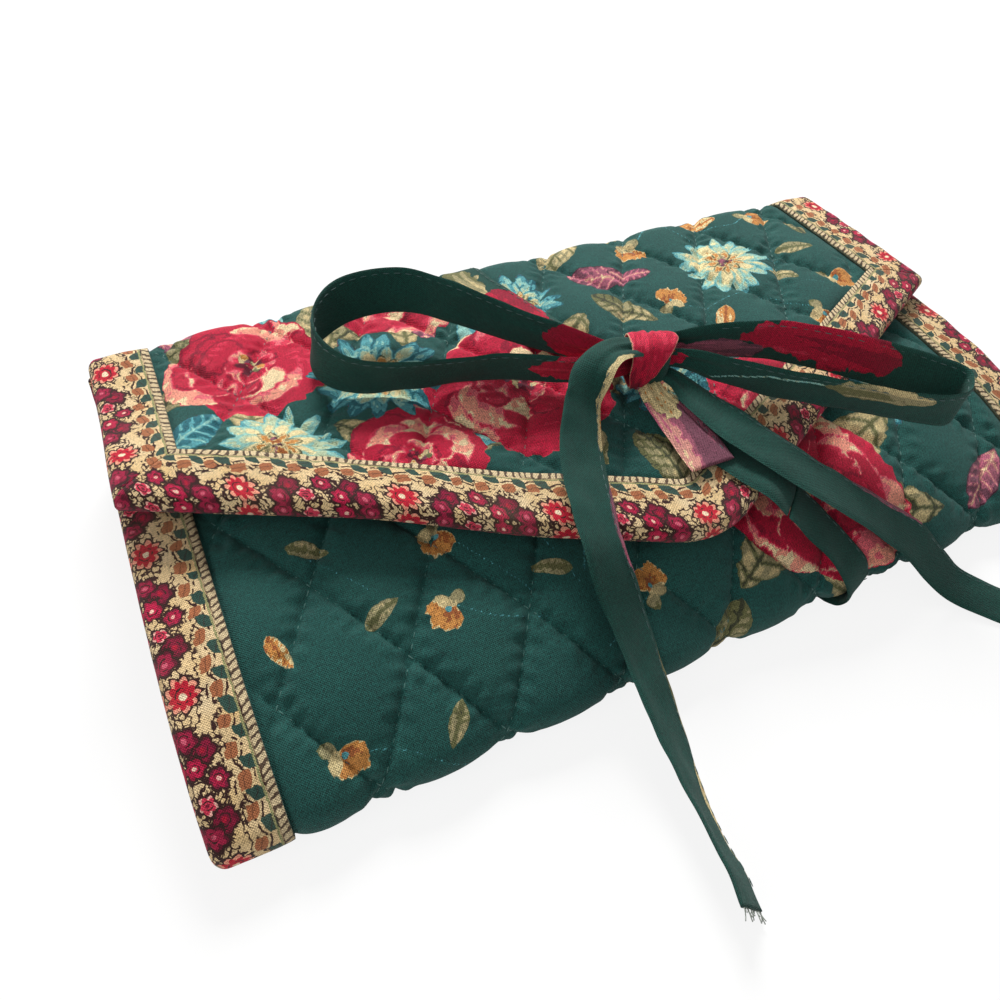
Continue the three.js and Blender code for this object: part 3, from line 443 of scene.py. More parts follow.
        petal(math.pi * 0.9, 0.55, 0.42, (0.6, 0.5, 0.3), edge=0.3, rim=0.3)
        for turn in (-0.75, 0.75, -0.4, 0.42, 0.0):
            tones = (0.95, 0.93, 0.86, 0.83)
            petal(turn, 1 - abs(turn) * 0.25, 0.42, tones, edge=0.93, belly=0.76, rim=0.25, notch=0.25)
        petal(1.25, 0.6, 0.32, (0.65, 0.72, 0.6), edge=0.5, rim=0.25)
        self.dab(x + math.cos(angle) * size * 0.2, y + math.sin(angle) * size * 0.2, size * 0.12, "cool", 0.3)

    def leaf(self, x, y, length, angle, kind):
        ink, tones, edge, vein = leafLooks[kind]
        look = {"edge": edge, "vein": vein, "belly": 0.55, "ragged": 0.08, "streak": 0.8, "rim": 0.35}
        self.petal(x, y, angle, length, length * 0.44, ink, tones, **look)

    # How far inside each ink, and its tone, at any points of the cloth in millimetres
    def at(self, x, y):
        j = np.clip((x - self.left) / self.pixel, 0, self.width - 1.001)
        i = np.clip((y - self.low) / self.pixel, 0, self.height - 1.001)
        j0, i0 = j.astype(int), i.astype(int)
        fj, fi = (j - j0)[:, None], (i - i0)[:, None]
        found = []
        for field in (self.inside, self.tone):
            top = field[i0, j0] * (1 - fj) + field[i0, j0 + 1] * fj
            low = field[i0 + 1, j0] * (1 - fj) + field[i0 + 1, j0 + 1] * fj
            found.append(top * (1 - fi) + low * fi)
        return np.clip(0.5 + found[0] / 6, 0, 1), np.clip(found[1], 0, 1)


# Motifs by their place on the cloth: x across, y forward on the flap and negative round the body.
# Leaves have a length, a turn and a kind, stems are paths, and the others a size and a turn.
bouquet = {
    "leaves": [
        (-104, 8, 26, 0.9, 0), (-60, 6, 24, 2.0, 4), (-98, 44, 24, 2.7, 3), (-38, 34, 24, -1.4, 1),
        (-2, 88, 24, 1.5, 0), (8, 62, 22, 0.5, 4), (-60, 66, 24, 1.8, 0), (14, 22, 24, 0.3, 1),
        (10, 14, 24, -0.6, 4), (16, 34, 22, 1.0, 0), (-14, 4, 20, -1.2, 2), (-92, 60, 20, 1.9, 4),
        (88, 34, 13, 0.3, 4), (52, 54, 13, 2.2, 2), (84, 50, 12, -2.2, 4), (40, 30, 14, -2.7, 1),
        (66, 8, 15, 0.1, 2), (46, 2, 16, 3.0, 4), (30, 2, 13, 2.9, 1), (104, 30, 12, -1.5, 0),
        (-94, -224, 10, 0.5, 4), (-84, -198, 10, -0.4, 4), (-34, -194, 10, -2.7, 4),
        (-12, -226, 11, -0.8, 2), (4, -172, 20, 2.3, 0), (12, -214, 22, 2.9, 3), (76, -216, 24, 0.7, 0),
        (84, -170, 22, -0.6, 1), (-60, -150, 22, 0.4, 0), (-96, -128, 22, 1.3, 1), (6, -110, 24, 2.3, 0),
        (72, -128, 22, 1.0, 3), (-30, -84, 22, -1.0, 0), (40, -70, 24, 0.2, 1), (-84, -62, 22, 2.9, 0),
        (96, -84, 20, -2.0, 2), (-52, -20, 22, -2.0, 0), (0, -24, 22, 0.6, 1), (66, -16, 22, -0.7, 0),
        (-100, -18, 20, 1.2, 2), (-70, -176, 10, 2.2, 4), (-104, -204, 9, 1.2, 2),
    ],
    "blooms": [
        (-86, 26, 24, 0.7), (-22, 60, 28, 0.3), (-40, 12, 20, 2.6), (-58, 76, 19, 1.9), (40, 96, 22, 1.1),
        (40, -192, 30, 0.5), (-44, -118, 28, 1.4), (58, -92, 25, 0.2), (-20, -48, 26, 2.2),
        (84, -30, 23, 0.9), (-96, -270, 20, 0.2), (30, -262, 24, 1.2),
    ],
    "asters": [
        (-88, 62, 16, False, 0.6), (-56, 44, 20, True, 0.2), (66, 34, 17, False, 0.5),
        (-6, 28, 14, True, 1.0), (14, 76, 15, True, 0.1), (-76, -96, 17, False, 0.3),
        (14, -136, 18, True, 0.9), (84, -212, 15, True, 0.4), (-60, -66, 14, True, 0.3),
        (30, -34, 15, False, 0.5), (-90, -40, 13, False, 0.3), (92, -118, 15, True, 0.1),
    ],
    "buds": [
        (96, 52, 9.5, 0.9), (44, 14, 10, 2.4), (92, 12, 9, 0.6), (36, 46, 9, -0.6), (80, 66, 9, 1.6),
        (-60, -216, 8.5, 1.9), (-40, -226, 8.5, 1.1), (-64, -196, 8, 2.7), (-98, -176, 8, 0.8),
        (-18, -182, 8.5, -1.2), (-80, -240, 8.5, 1.0), (-24, -160, 9, 2.3), (100, -150, 9, 2.2),
        (-2, -74, 9, 0.3), (60, -56, 9, 1.5), (96, -60, 9, 2.6),
    ],
    "stems": [
        [(66, 34), (76, 46), (90, 56)], [(96, 52), (88, 42), (78, 34)], [(44, 14), (54, 6), (70, 4)],
        [(92, 12), (84, 16), (70, 12)], [(36, 46), (46, 52), (60, 50)], [(80, 66), (72, 58), (64, 50)],
        [(-60, -216), (-54, -206), (-44, -192)], [(-40, -226), (-38, -210), (-34, -190)],
        [(-64, -196), (-56, -190), (-44, -186)], [(-12, -226), (-22, -210), (-32, -192)],
        [(-98, -176), (-86, -172), (-72, -162)], [(-94, -224), (-86, -214), (-80, -206)],
        [(96, 92), (92, 84), (88, 76)], [(-18, -182), (-26, -178), (-34, -174)],
        [(-24, -160), (-18, -146), (-6, -134)], [(100, -150), (92, -140), (82, -126)],
        [(64, 18), (60, 8), (50, 2)],
    ],
    "underBloom": (0, 4, 0, 1, 3, 4),
}


def paintCloth(layout, look):
    half = look["halfWidth"]
    painted = Painting(-half, look["low"], half, look["high"], look["pixel"], look["seed"])
    for points in layout["stems"]:
        painted.stem(points, look["stem"])
    for x, y, radius, turn in layout["blooms"]:
        for k, kind in enumerate(layout["underBloom"]):
            painted.leaf(x, y, radius * 1.3, turn + k * 1.09, kind)
    for place in layout["leaves"]:
        painted.leaf(*place)
    for place in layout["blooms"]:
        painted.bloom(*place)
    for place in layout["asters"]:
        painted.aster(*place)
    for place in layout["buds"]:
        painted.bud(*place)
    return painted


cloth = paintCloth(bouquet, printLook)
print("cloth print painted:", cloth.width, "by", cloth.height)


# The fields that the points carry, cut into crisp shapes in flat tones over the ground
def inked(graph, place, ground):
    ragged = (graph.noise(place, 120, 1.0) - 0.5) * 0.08
    blotch = (graph.noise(place, 75, 2.0) - 0.5) * 0.1
    colour = graph.mix((graph.noise(place, 9, 2.0) - 0.4) * 0.6, *ground)
    for inside, tone, ink in zip(graph.carried("shapes"), graph.carried("tones"), inks):
        printed = graph.node("ValToRGB", {"stops": inkStops(ink)}, [tone + blotch])
        colour = graph.mix((inside + ragged).rise(0.485, 0.515), colour, printed)
    return colour


def printedMaterial(name, look):
    graph = Graph(name)
    place = graph.node("UVMap", {"uv_map": "cloth"})
    return clothMaterial(name, inked(graph, place, look["ground"]), look)


# Shapes of the pouch in millimetres and radians, as its solids have them
pouchSize = {
    "length": 254.0, "depth": 135.0, "spineTop": 30.0, "puff": 0.7, "noseRadius": 6.0, "rearRadius": 7.0,
    "frontRise": 17.6, "frontSlope": math.radians(35), "mouthY": 42.0, "trim": 16.0, "sideWall": 3.0,
    "mouthTrim": 8.0, "clearance": 0.3, "endGap": 1.2,
}
flapSize = {
    "half": 125.5, "radius": 6.0, "foldRise": 0.6, "droop": 5.3, "cornerY": 6.0, "tipY": -54.0,
    "tipRound": 13.0, "underTrim": 12.0,
}
# How far from the profile each face of a layer lies, outer and inner
layerDepth = {"cover": (0.0, -1.3), "batting": (-1.5, -3.3), "lining": (-3.6, -4.2)}


# How far a piece that isn't lifted stands off its line
def level(x, y):
    return 0.0 * x * y


# A line of the pouch's section, with lengths along it and offsets from it
class Profile:
    def __init__(self, points, side, lift=level):
        self.points = np.array(points)
        self.lift = lift
        moves = np.diff(self.points, axis=0)
        sizes = np.hypot(moves[:, 0], moves[:, 1])
        self.s = np.concatenate([[0], np.cumsum(sizes)])
        self.total = self.s[-1]
        tangents = moves / sizes[:, None]
        joint = np.vstack([tangents[:1], tangents[:-1] + tangents[1:], tangents[-1:]])
        joint /= np.linalg.norm(joint, axis=1)[:, None]
        self.normals = np.column_stack([-joint[:, 1], joint[:, 0]]) * side

    def at(self, s):
        y, z = (np.interp(s, self.s, self.points[:, k]) for k in (0, 1))
        ny, nz = (np.interp(s, self.s, self.normals[:, k]) for k in (0, 1))
        size = np.hypot(ny, nz)
        return y, z, ny / size, nz / size

    # Points at x and length s along the profile, off its line by an offset
    def place(self, x, s, offset):
        y, z, ny, nz = self.at(s)
        y, z = y + ny * offset, z + nz * offset
        return np.stack(np.broadcast_arrays(x, y, z + self.lift(x, y)), axis=-1)

    # Points on the line itself, with the ways that it faces
    def faceAt(self, x, s):
        y, z, ny, nz = self.at(s)
        return np.stack([x, y, z + self.lift(x, y)], -1), np.stack([np.zeros_like(x), ny, nz], -1)

    def lengthAtY(self, y, start):
        first = np.searchsorted(self.s, start)
        ys, lengths = self.points[first:, 0], self.s[first:]
        if ys[0] > ys[-1]:
            return np.interp(-np.asarray(y), -ys, lengths)
        return np.interp(np.asarray(y), ys, lengths)


def arc(centreY, centreZ, radius, start, end, parts):
    angles = np.radians(np.linspace(start, end, parts + 1))
    return [(centreY + radius * math.cos(a), centreZ + radius * math.sin(a)) for a in angles]


rearY = pouchSize["depth"] / 2 - pouchSize["puff"]
foldZ = pouchSize["spineTop"] + pouchSize["clearance"]
profileSteps = 80


# From the rear fold down, along the table, round the front fold and back to the mouth
def bodyProfile(size):
    puff, rear, nose = size["puff"], size["rearRadius"], size["noseRadius"]
    slope = size["frontSlope"]
    points = [(rearY, size["spineTop"]), (rearY, (size["spineTop"] + puff + rear) / 2)]
    points += arc(rearY - rear, puff + rear, rear, 0, -90, 24)
    noseY, noseZ = -rearY + nose, puff + nose
    points += arc(noseY, noseZ, nose, -90, math.degrees(slope) - 270, 40)
    frontY = noseY - nose * math.sin(slope)
    frontZ = noseZ + nose * math.cos(slope)
    reach = size["frontRise"] / math.tan(slope)
    for k in range(1, profileSteps + 1):
        y = frontY + (size["mouthY"] - frontY) * k / profileSteps
        points.append((y, frontZ + size["frontRise"] * (1 - math.exp(-(y - frontY) / reach))))
    return Profile(points, 1)


def smooth(share):
    share = np.clip(share, 0, 1)
    return share * share * (3 - 2 * share)


# Height of the lifted edge, and where it starts and ends, by x and by y; the corner is lifted less
liftLook = {
    "height": 4.5, "startX": -35.0, "runX": 45.0, "startY": 12.0, "runY": 34.0, "cornerX": -60.0,
    "cornerRun": 50.0, "cornerY": 30.0,
}


# The stiff binding holds the flap's left front edge a little off the body
def flapLift(x, y):
    look = liftLook
    startY = look["startY"] + look["cornerY"] * smooth((look["cornerX"] - x) / look["cornerRun"])
    fromRight = smooth((look["startX"] - x) / look["runX"])
    return look["height"] * fromRight * smooth((startY - y) / look["runY"])


# From the rear fold up and over to the flap's tip
def flapProfile(size):
    backY, turnZ = rearY - size["radius"], foldZ + size["foldRise"]
    points = [(rearY, foldZ), (rearY, (foldZ + turnZ) / 2)]
    points += arc(backY, turnZ, size["radius"], 0, 90, 24)
    for k in range(1, profileSteps + 1):
        share = k / profileSteps
        y = backY + (size["tipY"] - backY) * share
        points.append((y, turnZ + size["radius"] - size["droop"] * share * share))
    return Profile(points, -1, flapLift)


body = bodyProfile(pouchSize)
flap = flapProfile(flapSize)
print("profiles: body", round(body.total, 1), "flap", round(flap.total, 1))


# Meshes from arrays of points in millimetres
def signedVolume(points, faceSets):
    total = 0.0
    for faces in faceSets:
        for k in range(1, faces.shape[1] - 1):
            a, b, c = points[faces[:, 0]], points[faces[:, k]], points[faces[:, k + 1]]
            total += float(np.einsum("ij,ij->", a, np.cross(b, c)))
    return total


def makePiece(name, points, faceSets, material, uv=None, paint=None):
    points = np.asarray(points, float)
    faceSets = [np.asarray(faces, np.int32) for faces in faceSets if len(faces)]
    if signedVolume(points, faceSets) < 0:
        faceSets = [faces[:, ::-1] for faces in faceSets]
    mesh = bpy.data.meshes.new(name)
    mesh.vertices.add(len(points))
    mesh.vertices.foreach_set("co", (points * 0.001).astype(np.float32).ravel())
    loops = np.concatenate([faces.ravel() for faces in faceSets]).astype(np.int32)
    sizes = np.concatenate([np.full(len(faces), faces.shape[1]) for faces in faceSets])
    mesh.loops.add(len(loops))
    mesh.loops.foreach_set("vertex_index", loops)
    mesh.polygons.add(len(sizes))
    mesh.polygons.foreach_set("loop_start", (np.cumsum(sizes) - sizes).astype(np.int32))
    mesh.update(calc_edges=True)
    mesh.shade_smooth()
    if uv is not None:
        layer = mesh.uv_layers.new(name="cloth")
        layer.data.foreach_set("uv", (np.asarray(uv)[loops] * 0.01).astype(np.float32).ravel())
    for field, values in zip(("shapes", "tones"), () if paint is None else paint):
        layer = mesh.color_attributes.new(name=field, type="FLOAT_COLOR", domain="POINT")
        layer.data.foreach_set("color", values.astype(np.float32).ravel())
    mesh.materials.append(material)
    return addObject(name, mesh)


# A piece is hung on its body, and the CAD nodes it stands for are hidden
def declare(piece, bodyName, slot, *nodes):
    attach(piece, bodyName)
    if nodes:
        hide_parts(*nodes)
    return piece


def kept(count, step, tail=1):
    return np.unique(np.append(np.arange(0, count, step), np.arange(count - tail, count)))


def quads(grid):
    return np.stack([grid[:-1, :-1], grid[:-1, 1:], grid[1:, 1:], grid[1:, :-1]], -1).reshape(-1, 4)


# Triangles between a dense line and a coarse one that joins some of its places
def rimFaces(outerLine, innerLine, places, forward):
    made = []
    for k, (a, b) in enumerate(zip(places[:-1], places[1:])):
        middle = (a + b) // 2
        made += [(innerLine[k], outerLine[j], outerLine[j + 1]) for j in range(a, middle)]
        made.append((innerLine[k], outerLine[middle], innerLine[k + 1]))
        made += [(innerLine[k + 1], outerLine[j], outerLine[j + 1]) for j in range(middle, b)]
    return made if forward else [face[::-1] for face in made]


# Faces of a closed sheet: a dense outer grid, a coarse inner one and a rim that joins them.
# The tail is how many of the last rows the inner grid keeps too.
def sheetFaces(rows, columns, step, tail):
    outer = np.arange(rows * columns).reshape(rows, columns)
    rowsKept, columnsKept = kept(rows, step, tail), kept(columns, step)
    inner = rows * columns + np.arange(len(rowsKept) * len(columnsKept)).reshape(len(rowsKept), -1)
    rim = rimFaces(outer[0], inner[0], columnsKept, False)
    rim += rimFaces(outer[-1], inner[-1], columnsKept, True)
    rim += rimFaces(outer[:, 0], inner[:, 0], rowsKept, True)
    rim += rimFaces(outer[:, -1], inner[:, -1], rowsKept, False)
    return [quads(outer), quads(inner)[:, ::-1], np.array(rim)], np.ix_(rowsKept, columnsKept)


# A closed sheet from its outer points, the ones below them and its places on the cloth
def sheetPiece(name, outer, under, place, material, step=1, paint=None, tail=1):
    faces, keep = sheetFaces(*outer.shape[:2], step, tail)
    inner = under[keep].reshape(-1, 3)
    points = np.concatenate([outer.reshape(-1, 3), inner])
    uv = np.concatenate([place.reshape(-1, 2), place[keep].reshape(-1, 2)])
    fields = paint and paint.at(uv[:, 0], uv[:, 1])
    if fields:
        # the cloth's back carries no print
        fields[0][-len(inner) :] = 0
    return makePiece(name, points, faces, material, uv, fields)


# Faces round a closed strip or tube, from one ring of points to the next
def tubeFaces(grid):
    turned = np.roll(grid, -1, axis=1)
    return np.stack([grid[:-1], turned[:-1], turned[1:], grid[1:]], -1).reshape(-1, 4)


# Faces of a closed strip, whose rings run out along one side and back along the other
def stripFaces(rings, count):
    grid = np.arange(rings * count).reshape(rings, count)
    j = np.arange(count // 2 - 1)
    first = np.column_stack([grid[0][k] for k in (j, count - 1 - j, count - 2 - j, j + 1)])
    last = np.column_stack([grid[-1][k] for k in (j, j + 1, count - 2 - j, count - 1 - j)])
    return [tubeFaces(grid), first, last]


# A closed strip from its rings of points and their places on the cloth
def stripPiece(name, rings, uv, material, paint=None):
    faces = stripFaces(*rings.shape[:2])
    return makePiece(name, rings.reshape(-1, 3), faces, material, uv.reshape(-1, 2), paint)


# Even noise in the plane of the cloth, from waves with a fixed seed
def ripple(x, y, size, seed, waves=14):
    rng = np.random.default_rng(seed)
    total = np.zeros(np.broadcast(x, y).shape)
    for _ in range(waves):
        angle, phase = rng.uniform(0, 2 * math.pi, 2)
        turn = 2 * math.pi / (size * rng.uniform(0.7, 1.6))
        total += np.sin((x * math.cos(angle) + y * math.sin(angle)) * turn + phase)
    return total / math.sqrt(waves)


# Values from one place to the next, each span with its own spacing
def steps(*spans):
    values = [spans[0][0]]
    for start, end, gap in spans:
        count = max(int(math.ceil(abs(end - start) / gap)), 1)
        values += list(np.linspace(start, end, count + 1)[1:])
    return np.array(values)


# The tie, one cloth strip: each run by stations with their place, the way the width points where it
# isn't along x, and the share of the full width where it isn't 1
tieSize = {
    "width": 12.7, "thickness": 1.0, "step": 0.8, "across": 17, "crease": 0.14, "clear": 0.25,
    "dentSlope": 0.55, "dentReach": 14, "farOff": 9.0,
}
restZ = tieSize["thickness"] / 2
rearStrapY = pouchSize["depth"] / 2 + pouchSize["clearance"] + restZ
underFront = (37.8, -60.3)
underRear = (-12.5, 59.4)

tieRoutes = {
    "tie_rise": [
        (7.2, -37, 36.5), (7.4, -30, 37.1), (6.8, -20.5, 38.3, 1, 0, 0, 0.85),
        (5.8, -13, 39.5, 1, 0, 0, 0.6), (6.8, -5, 40.7, 1, 0, 0, 0.5),
    ],
    "tie_wrap_start": [
        (12, -29.5, 35.5, 0.9, 0.4, 0), (14.5, -34, 35.2, 0.9, 0.4, 0), (17.5, -41, 34.6, 0.9, 0.4, 0),
        (20.5, -46.2, 33.7, 0.85, 0.5, 0), (23.8, -50, 29.8, 0.8, 0.6, 0),
    ],
    "tie_wrap_front": [
        (24.1, -50.35, 29.4, 0.8, 0.6, 0), (29.7, -55.9, 23.1, 0.8, 0.6, 0),
        (34.8, -61.4, 17.3, 0.8, 0.55, 0), (38, -66.9, 11.9, 0.9, 0.4, 0),
        (39.4, -68.6, 6.9, 0.93, 0.35, 0), (39.8, -67.1, 2.7, 0.93, 0.37, 0),
        (39.3, -64.4, 0.85, 0.92, 0.39, 0), (38.65, -62.35, restZ, 0.92, 0.39, 0),
        (underFront[0] + 0.12, underFront[1] - 0.3, restZ, 0.92, 0.39, 0),
    ],
    "tie_wrap_under": [
        (*underFront, restZ, 0.92, 0.39, 0), (*underRear, restZ, 0.92, 0.39, 0),
    ],
    "tie_wrap_rear": [
        (underRear[0] - 0.12, underRear[1] + 0.3, restZ, 0.92, 0.39, 0),
        (underRear[0] - 0.95, 61.7, 0.6, 0.92, 0.39, 0), (underRear[0] - 1.9, 64.6, 1.6, 0.95, 0.3, 0),
        (underRear[0] - 2.8, 67.3, 4.8, 1, 0.1, 0), (underRear[0] - 3.2, rearStrapY, 10, 1, 0, 0),
        (underRear[0] - 3.5, rearStrapY, 20, 1, 0, 0), (underRear[0] - 3.5, rearStrapY, 30, 1, 0, 0),
    ],
    "tie_wrap_top": [
        (-16, rearStrapY, foldZ, 1, 0, 0), (-16, rearStrapY, 31.5, 1, 0, 0), (-16, 67.3, 35, 1, 0, 0),
        (-16, 64.6, 37.6, 1, 0, 0), (-15.9, 60.8, 38.6, 1, 0.1, 0), (-15, 55, 38.8, 0.97, 0.25, 0),
        (-12, 45, 38.8, 0.94, 0.34, 0), (-7.5, 29, 39, 0.94, 0.34, 0), (-3, 14, 39.9, 0.9, 0.4, 0, 0.9),
        (1.5, 4.5, 41.2, 0.9, 0.4, 0, 0.7), (6, -2, 42.4, 0.9, 0.4, 0, 0.55),
    ],
    "bow_loop_left": [
        (5, -4.7, 45.5, 0, 0, 1, 0.5), (-1, -4, 45.3, 0, 0, 1, 0.52), (-14, 0.5, 45.2, 0, -0.3, 1, 0.85),
        (-29, 9, 44.8, 0, -0.4, 1), (-44, 13, 44.6, 0, -0.4, 1), (-58, 17, 44.6, 0, -0.3, 1),
        (-67, 22.5, 45, 0.1, -0.1, 1), (-71, 30, 46.4, 0.2, 0, 1), (-68.5, 38, 48.8, 0.2, 0.1, 1),
        (-57.5, 44.5, 50.6, 0, 0.2, 1), (-43, 42, 51.4, 0, 0.2, 1), (-33, 32.5, 51, 0, 0.1, 1),
        (-22, 19.5, 49.6, 0, 0, 1, 0.9), (-10, 7.5, 48, 0, 0, 1, 0.75), (-1, 0.5, 46.8, 0, 0, 1, 0.5),
        (5.5, -1.6, 46.4, 0, 0, 1, 0.45),
    ],
    "bow_loop_right": [
        (11, -5.6, 46, 0, 0, 1, 0.45), (16, -8.2, 45.8, 0, 0, 1, 0.5), (24, -15.5, 45, 0, -0.3, 1, 0.8),
        (35, -24.5, 43.6, 0, -0.4, 1), (47, -33.5, 43, 0, -0.4, 1), (58, -41, 42, 0, -0.4, 1),
        (69, -47, 40.6, 0, -0.3, 1), (77.5, -48.5, 40, 0.1, 0, 1), (81, -43.5, 40.8, 0.2, 0.1, 1),
        (75, -37.5, 42.6, 0, 0.2, 1), (64, -30.5, 45.4, 0, 0.2, 1), (52.5, -22.5, 47.6, 0, 0.1, 1),
        (41, -14.5, 48.6, 0, 0, 1), (28, -8, 48.2, 0, 0, 1, 0.85), (17, -3.2, 47.2, 0, 0, 1, 0.6),
        (11, -1.8, 46.8, 0, 0, 1, 0.5),
    ],
    "tie_tail_left": [
        (6.2, -4.2, 49.4, 0, -1, -0.2, 0.5), (1, -4.2, 51.2, 0, -1, -0.2, 0.58),
        (-4.8, -4.7, 52, 0.2, -1, 0, 0.72), (-10.4, -7, 50.6, 0.6, -0.8, 0, 0.8),
        (-15.3, -10.7, 45.6, 0.96, 0, -0.29, 0.85), (-22.3, -22.7, 39.4, 0.96, 0, -0.29),
        (-27.8, -38.2, 37.2, 0.94, 0, -0.34), (-29.9, -47.9, 33.6, 0.91, 0, -0.41),
        (-28.3, -58.5, 21.4, 0.88, 0, -0.47), (-28.8, -69.3, 14.6, 0.86, 0, -0.52),
        (-29.7, -80.5, 9.6, 0.79, 0, -0.62), (-30.9, -90.3, 6.7, 0.66, 0, -0.75),
        (-32.3, -98.4, 6.05, 0.57, 0, -0.82), (-33.2, -106.6, 5.95, 0.54, 0, -0.84),
        (-33.6, -112.7, 5.85, 0.59, 0, -0.81), (-35, -118.3, 5.8, 0.6, 0, -0.8),
    ],
    "tie_tail_right": [
        (10.8, -5.8, 42.3, 0.8, 0.5, 0, 0.45), (13.5, -11.5, 41.4, 0.85, 0.5, 0, 0.55),
        (15, -19, 40.5, 0.9, 0.4, 0, 0.8), (19.3, -30.8, 38.7, 0.9, 0.42, 0),
        (25, -41.5, 36.4, 0.8, 0.6, 0), (33, -50, 31.6, 0.75, 0.65, 0), (42, -56.8, 26, 0.78, 0.6, 0),
        (49.5, -61.8, 20.8, 0.85, 0.5, 0), (56.5, -67, 15.4, 0.95, 0.3, 0),
        (62, -72.2, 9.2, 0.95, 0.3, 0), (67, -77.6, 3.9, 0.92, 0.4, 0), (74, -85.5, 1.3, 0.84, 0.54, 0),
        (86, -99, 0.7, 0.8, 0.6, 0),
    ],
}
pouchTies = ["tie_wrap_front", "tie_wrap_under", "tie_wrap_rear"]
ridingTies = [name for name in tieRoutes if name not in pouchTies]


# A smooth curve through the stations, whose speed follows the root of their spacing
def smoothCurve(points, t):
    spans = len(points) - 1
    padded = np.vstack([2 * points[0] - points[1], points, 2 * points[-1] - points[-2]])
    k = np.minimum((t * spans).astype(int), spans - 1)
    w = (t * spans - k)[:, None]
    p = [padded[k + i] for i in range(4)]
    d0, d1, d2 = (np.sqrt(np.linalg.norm(b - a, axis=1))[:, None] for a, b in zip(p[:-1], p[1:]))
    t1 = ((p[1] - p[0]) / d0 - (p[2] - p[0]) / (d0 + d1) + (p[2] - p[1]) / d1) * d1
    t2 = ((p[2] - p[1]) / d1 - (p[3] - p[1]) / (d1 + d2) + (p[3] - p[2]) / d2) * d1
    c2 = -3 * p[1] + 3 * p[2] - 2 * t1 - t2
    c3 = 2 * p[1] - 2 * p[2] + t1 + t2
    place = p[1] + t1 * w + c2 * w**2 + c3 * w**3
    slope = t1 + 2 * c2 * w + 3 * c3 * w**2
    return place, slope / np.linalg.norm(slope, axis=1)[:, None]


# Where a ribbon runs, the ways it runs, its width and its face point, its width share and its length
# so far
def ribbonFrame(stations, step):
    points = np.array([station[:3] for station in stations], float)
    roughT = np.linspace(0, 1, (len(points) - 1) * 12 + 1)
    rough, _ = smoothCurve(points, roughT)
    lengths = np.linalg.norm(np.diff(rough, axis=0), axis=1)
    soFar = np.concatenate([[0], np.cumsum(lengths)])
    along = np.linspace(0, soFar[-1], max(int(soFar[-1] / step), 2) + 1)
    t = np.interp(along, soFar, roughT)
    place, tangent = smoothCurve(points, t)
    ways = np.array([station[3:6] or (1, 0, 0) for station in stations], float)
    shares = np.array([station[6] if len(station) > 6 else 1 for station in stations], float)
    knots = np.linspace(0, 1, len(stations))
    across = np.column_stack([np.interp(t, knots, ways[:, i]) for i in range(3)])
    across -= tangent * np.sum(across * tangent, axis=1)[:, None]
    across /= np.linalg.norm(across, axis=1)[:, None]
    return place, tangent, across, np.cross(across, tangent), np.interp(t, knots, shares), along


ribbons = {name: ribbonFrame(route, tieSize["step"]) for name, route in tieRoutes.items()}
tieLengths = {name: float(run[-1][-1]) for name, run in ribbons.items()}
print("tie runs:", {name: round(length) for name, length in tieLengths.items()})

# Places where a strap lies on the padding, so that the padding gives way under it
layingTies = [name for name in tieRoutes if not name.startswith("bow")]
strapPoints, strapWays = (np.vstack([ribbons[name][k][::3] for name in layingTies]) for k in (0, 2))


# The most that cloth at a base point may stand off its profile, given the straps on it
def strapRoom(base, normals):
    room = np.full(len(base), tieSize["farOff"])
    low, high = strapPoints.min(axis=0) - tieSize["dentReach"], strapPoints.max(axis=0) + tieSize["dentReach"]
    near = np.flatnonzero(np.all((base > low) & (base < high), axis=1))
    half = tieSize["width"] / 2
    for some in np.array_split(near, range(4000, len(near), 4000)):
        gap = strapPoints[None, :, :] - base[some][:, None, :]
        height = np.einsum("ijk,ik->ij", gap, normals[some])
        beside = -np.einsum("ijk,jk->ij", gap, strapWays)
        flat = np.linalg.norm(gap, axis=2) ** 2 - height**2 - beside**2
        touching = (height > -3) & (height < 8) & (flat < 9)
        tilt = normals[some] @ strapWays.T
        allowed = height + np.clip(beside, -half, half) * tilt - tieSize["thickness"] / 2 - tieSize["clear"]
        allowed = allowed + tieSize["dentSlope"] * np.maximum(np.abs(beside) - half - 0.2, 0)
        room[some] = np.where(touching, allowed, tieSize["farOff"]).min(axis=1)
    return room


# Quilted cloth: padded diamonds between crossing seams, drawn in under straps and bindings
quiltLook = {
    "width": 29.6, "length": 48.0, "x": -3.0, "flapY": 59.0, "seam": -0.95, "crown": 2.1, "crease": 3.2,
    "pucker": 0.32, "recess": -0.55, "drawn": 2.4, "fine": 0.62, "coarse": 3, "seed": 21, "innerStep": 6,
}
stitchLook = {"pitch": 2.9, "length": 1.8, "width": 0.28, "pit": 0.18}
quiltSize = math.hypot(quiltLook["width"], quiltLook["length"])


def seamPlaces(x, s):
    wide, longWay = quiltLook["width"], quiltLook["length"]
    u, v = (x - quiltLook["x"]) / wide, s / longWay
    span = 1 / math.hypot(1 / wide, 1 / longWay)
    places = []
    for q, way in ((u + v, -1), (u - v, 1)):
        off = np.abs((q - 0.5 - np.round(q - 0.5)) * span)
        places.append((off, ((x - quiltLook["x"]) * wide + way * s * longWay) / quiltSize))
    return places


def puffed(off):
    crease = quiltLook["crease"]
    return 1 - 0.4 * np.exp(-off / (0.3 * crease)) - 0.6 * np.exp(-off / (1.5 * crease))


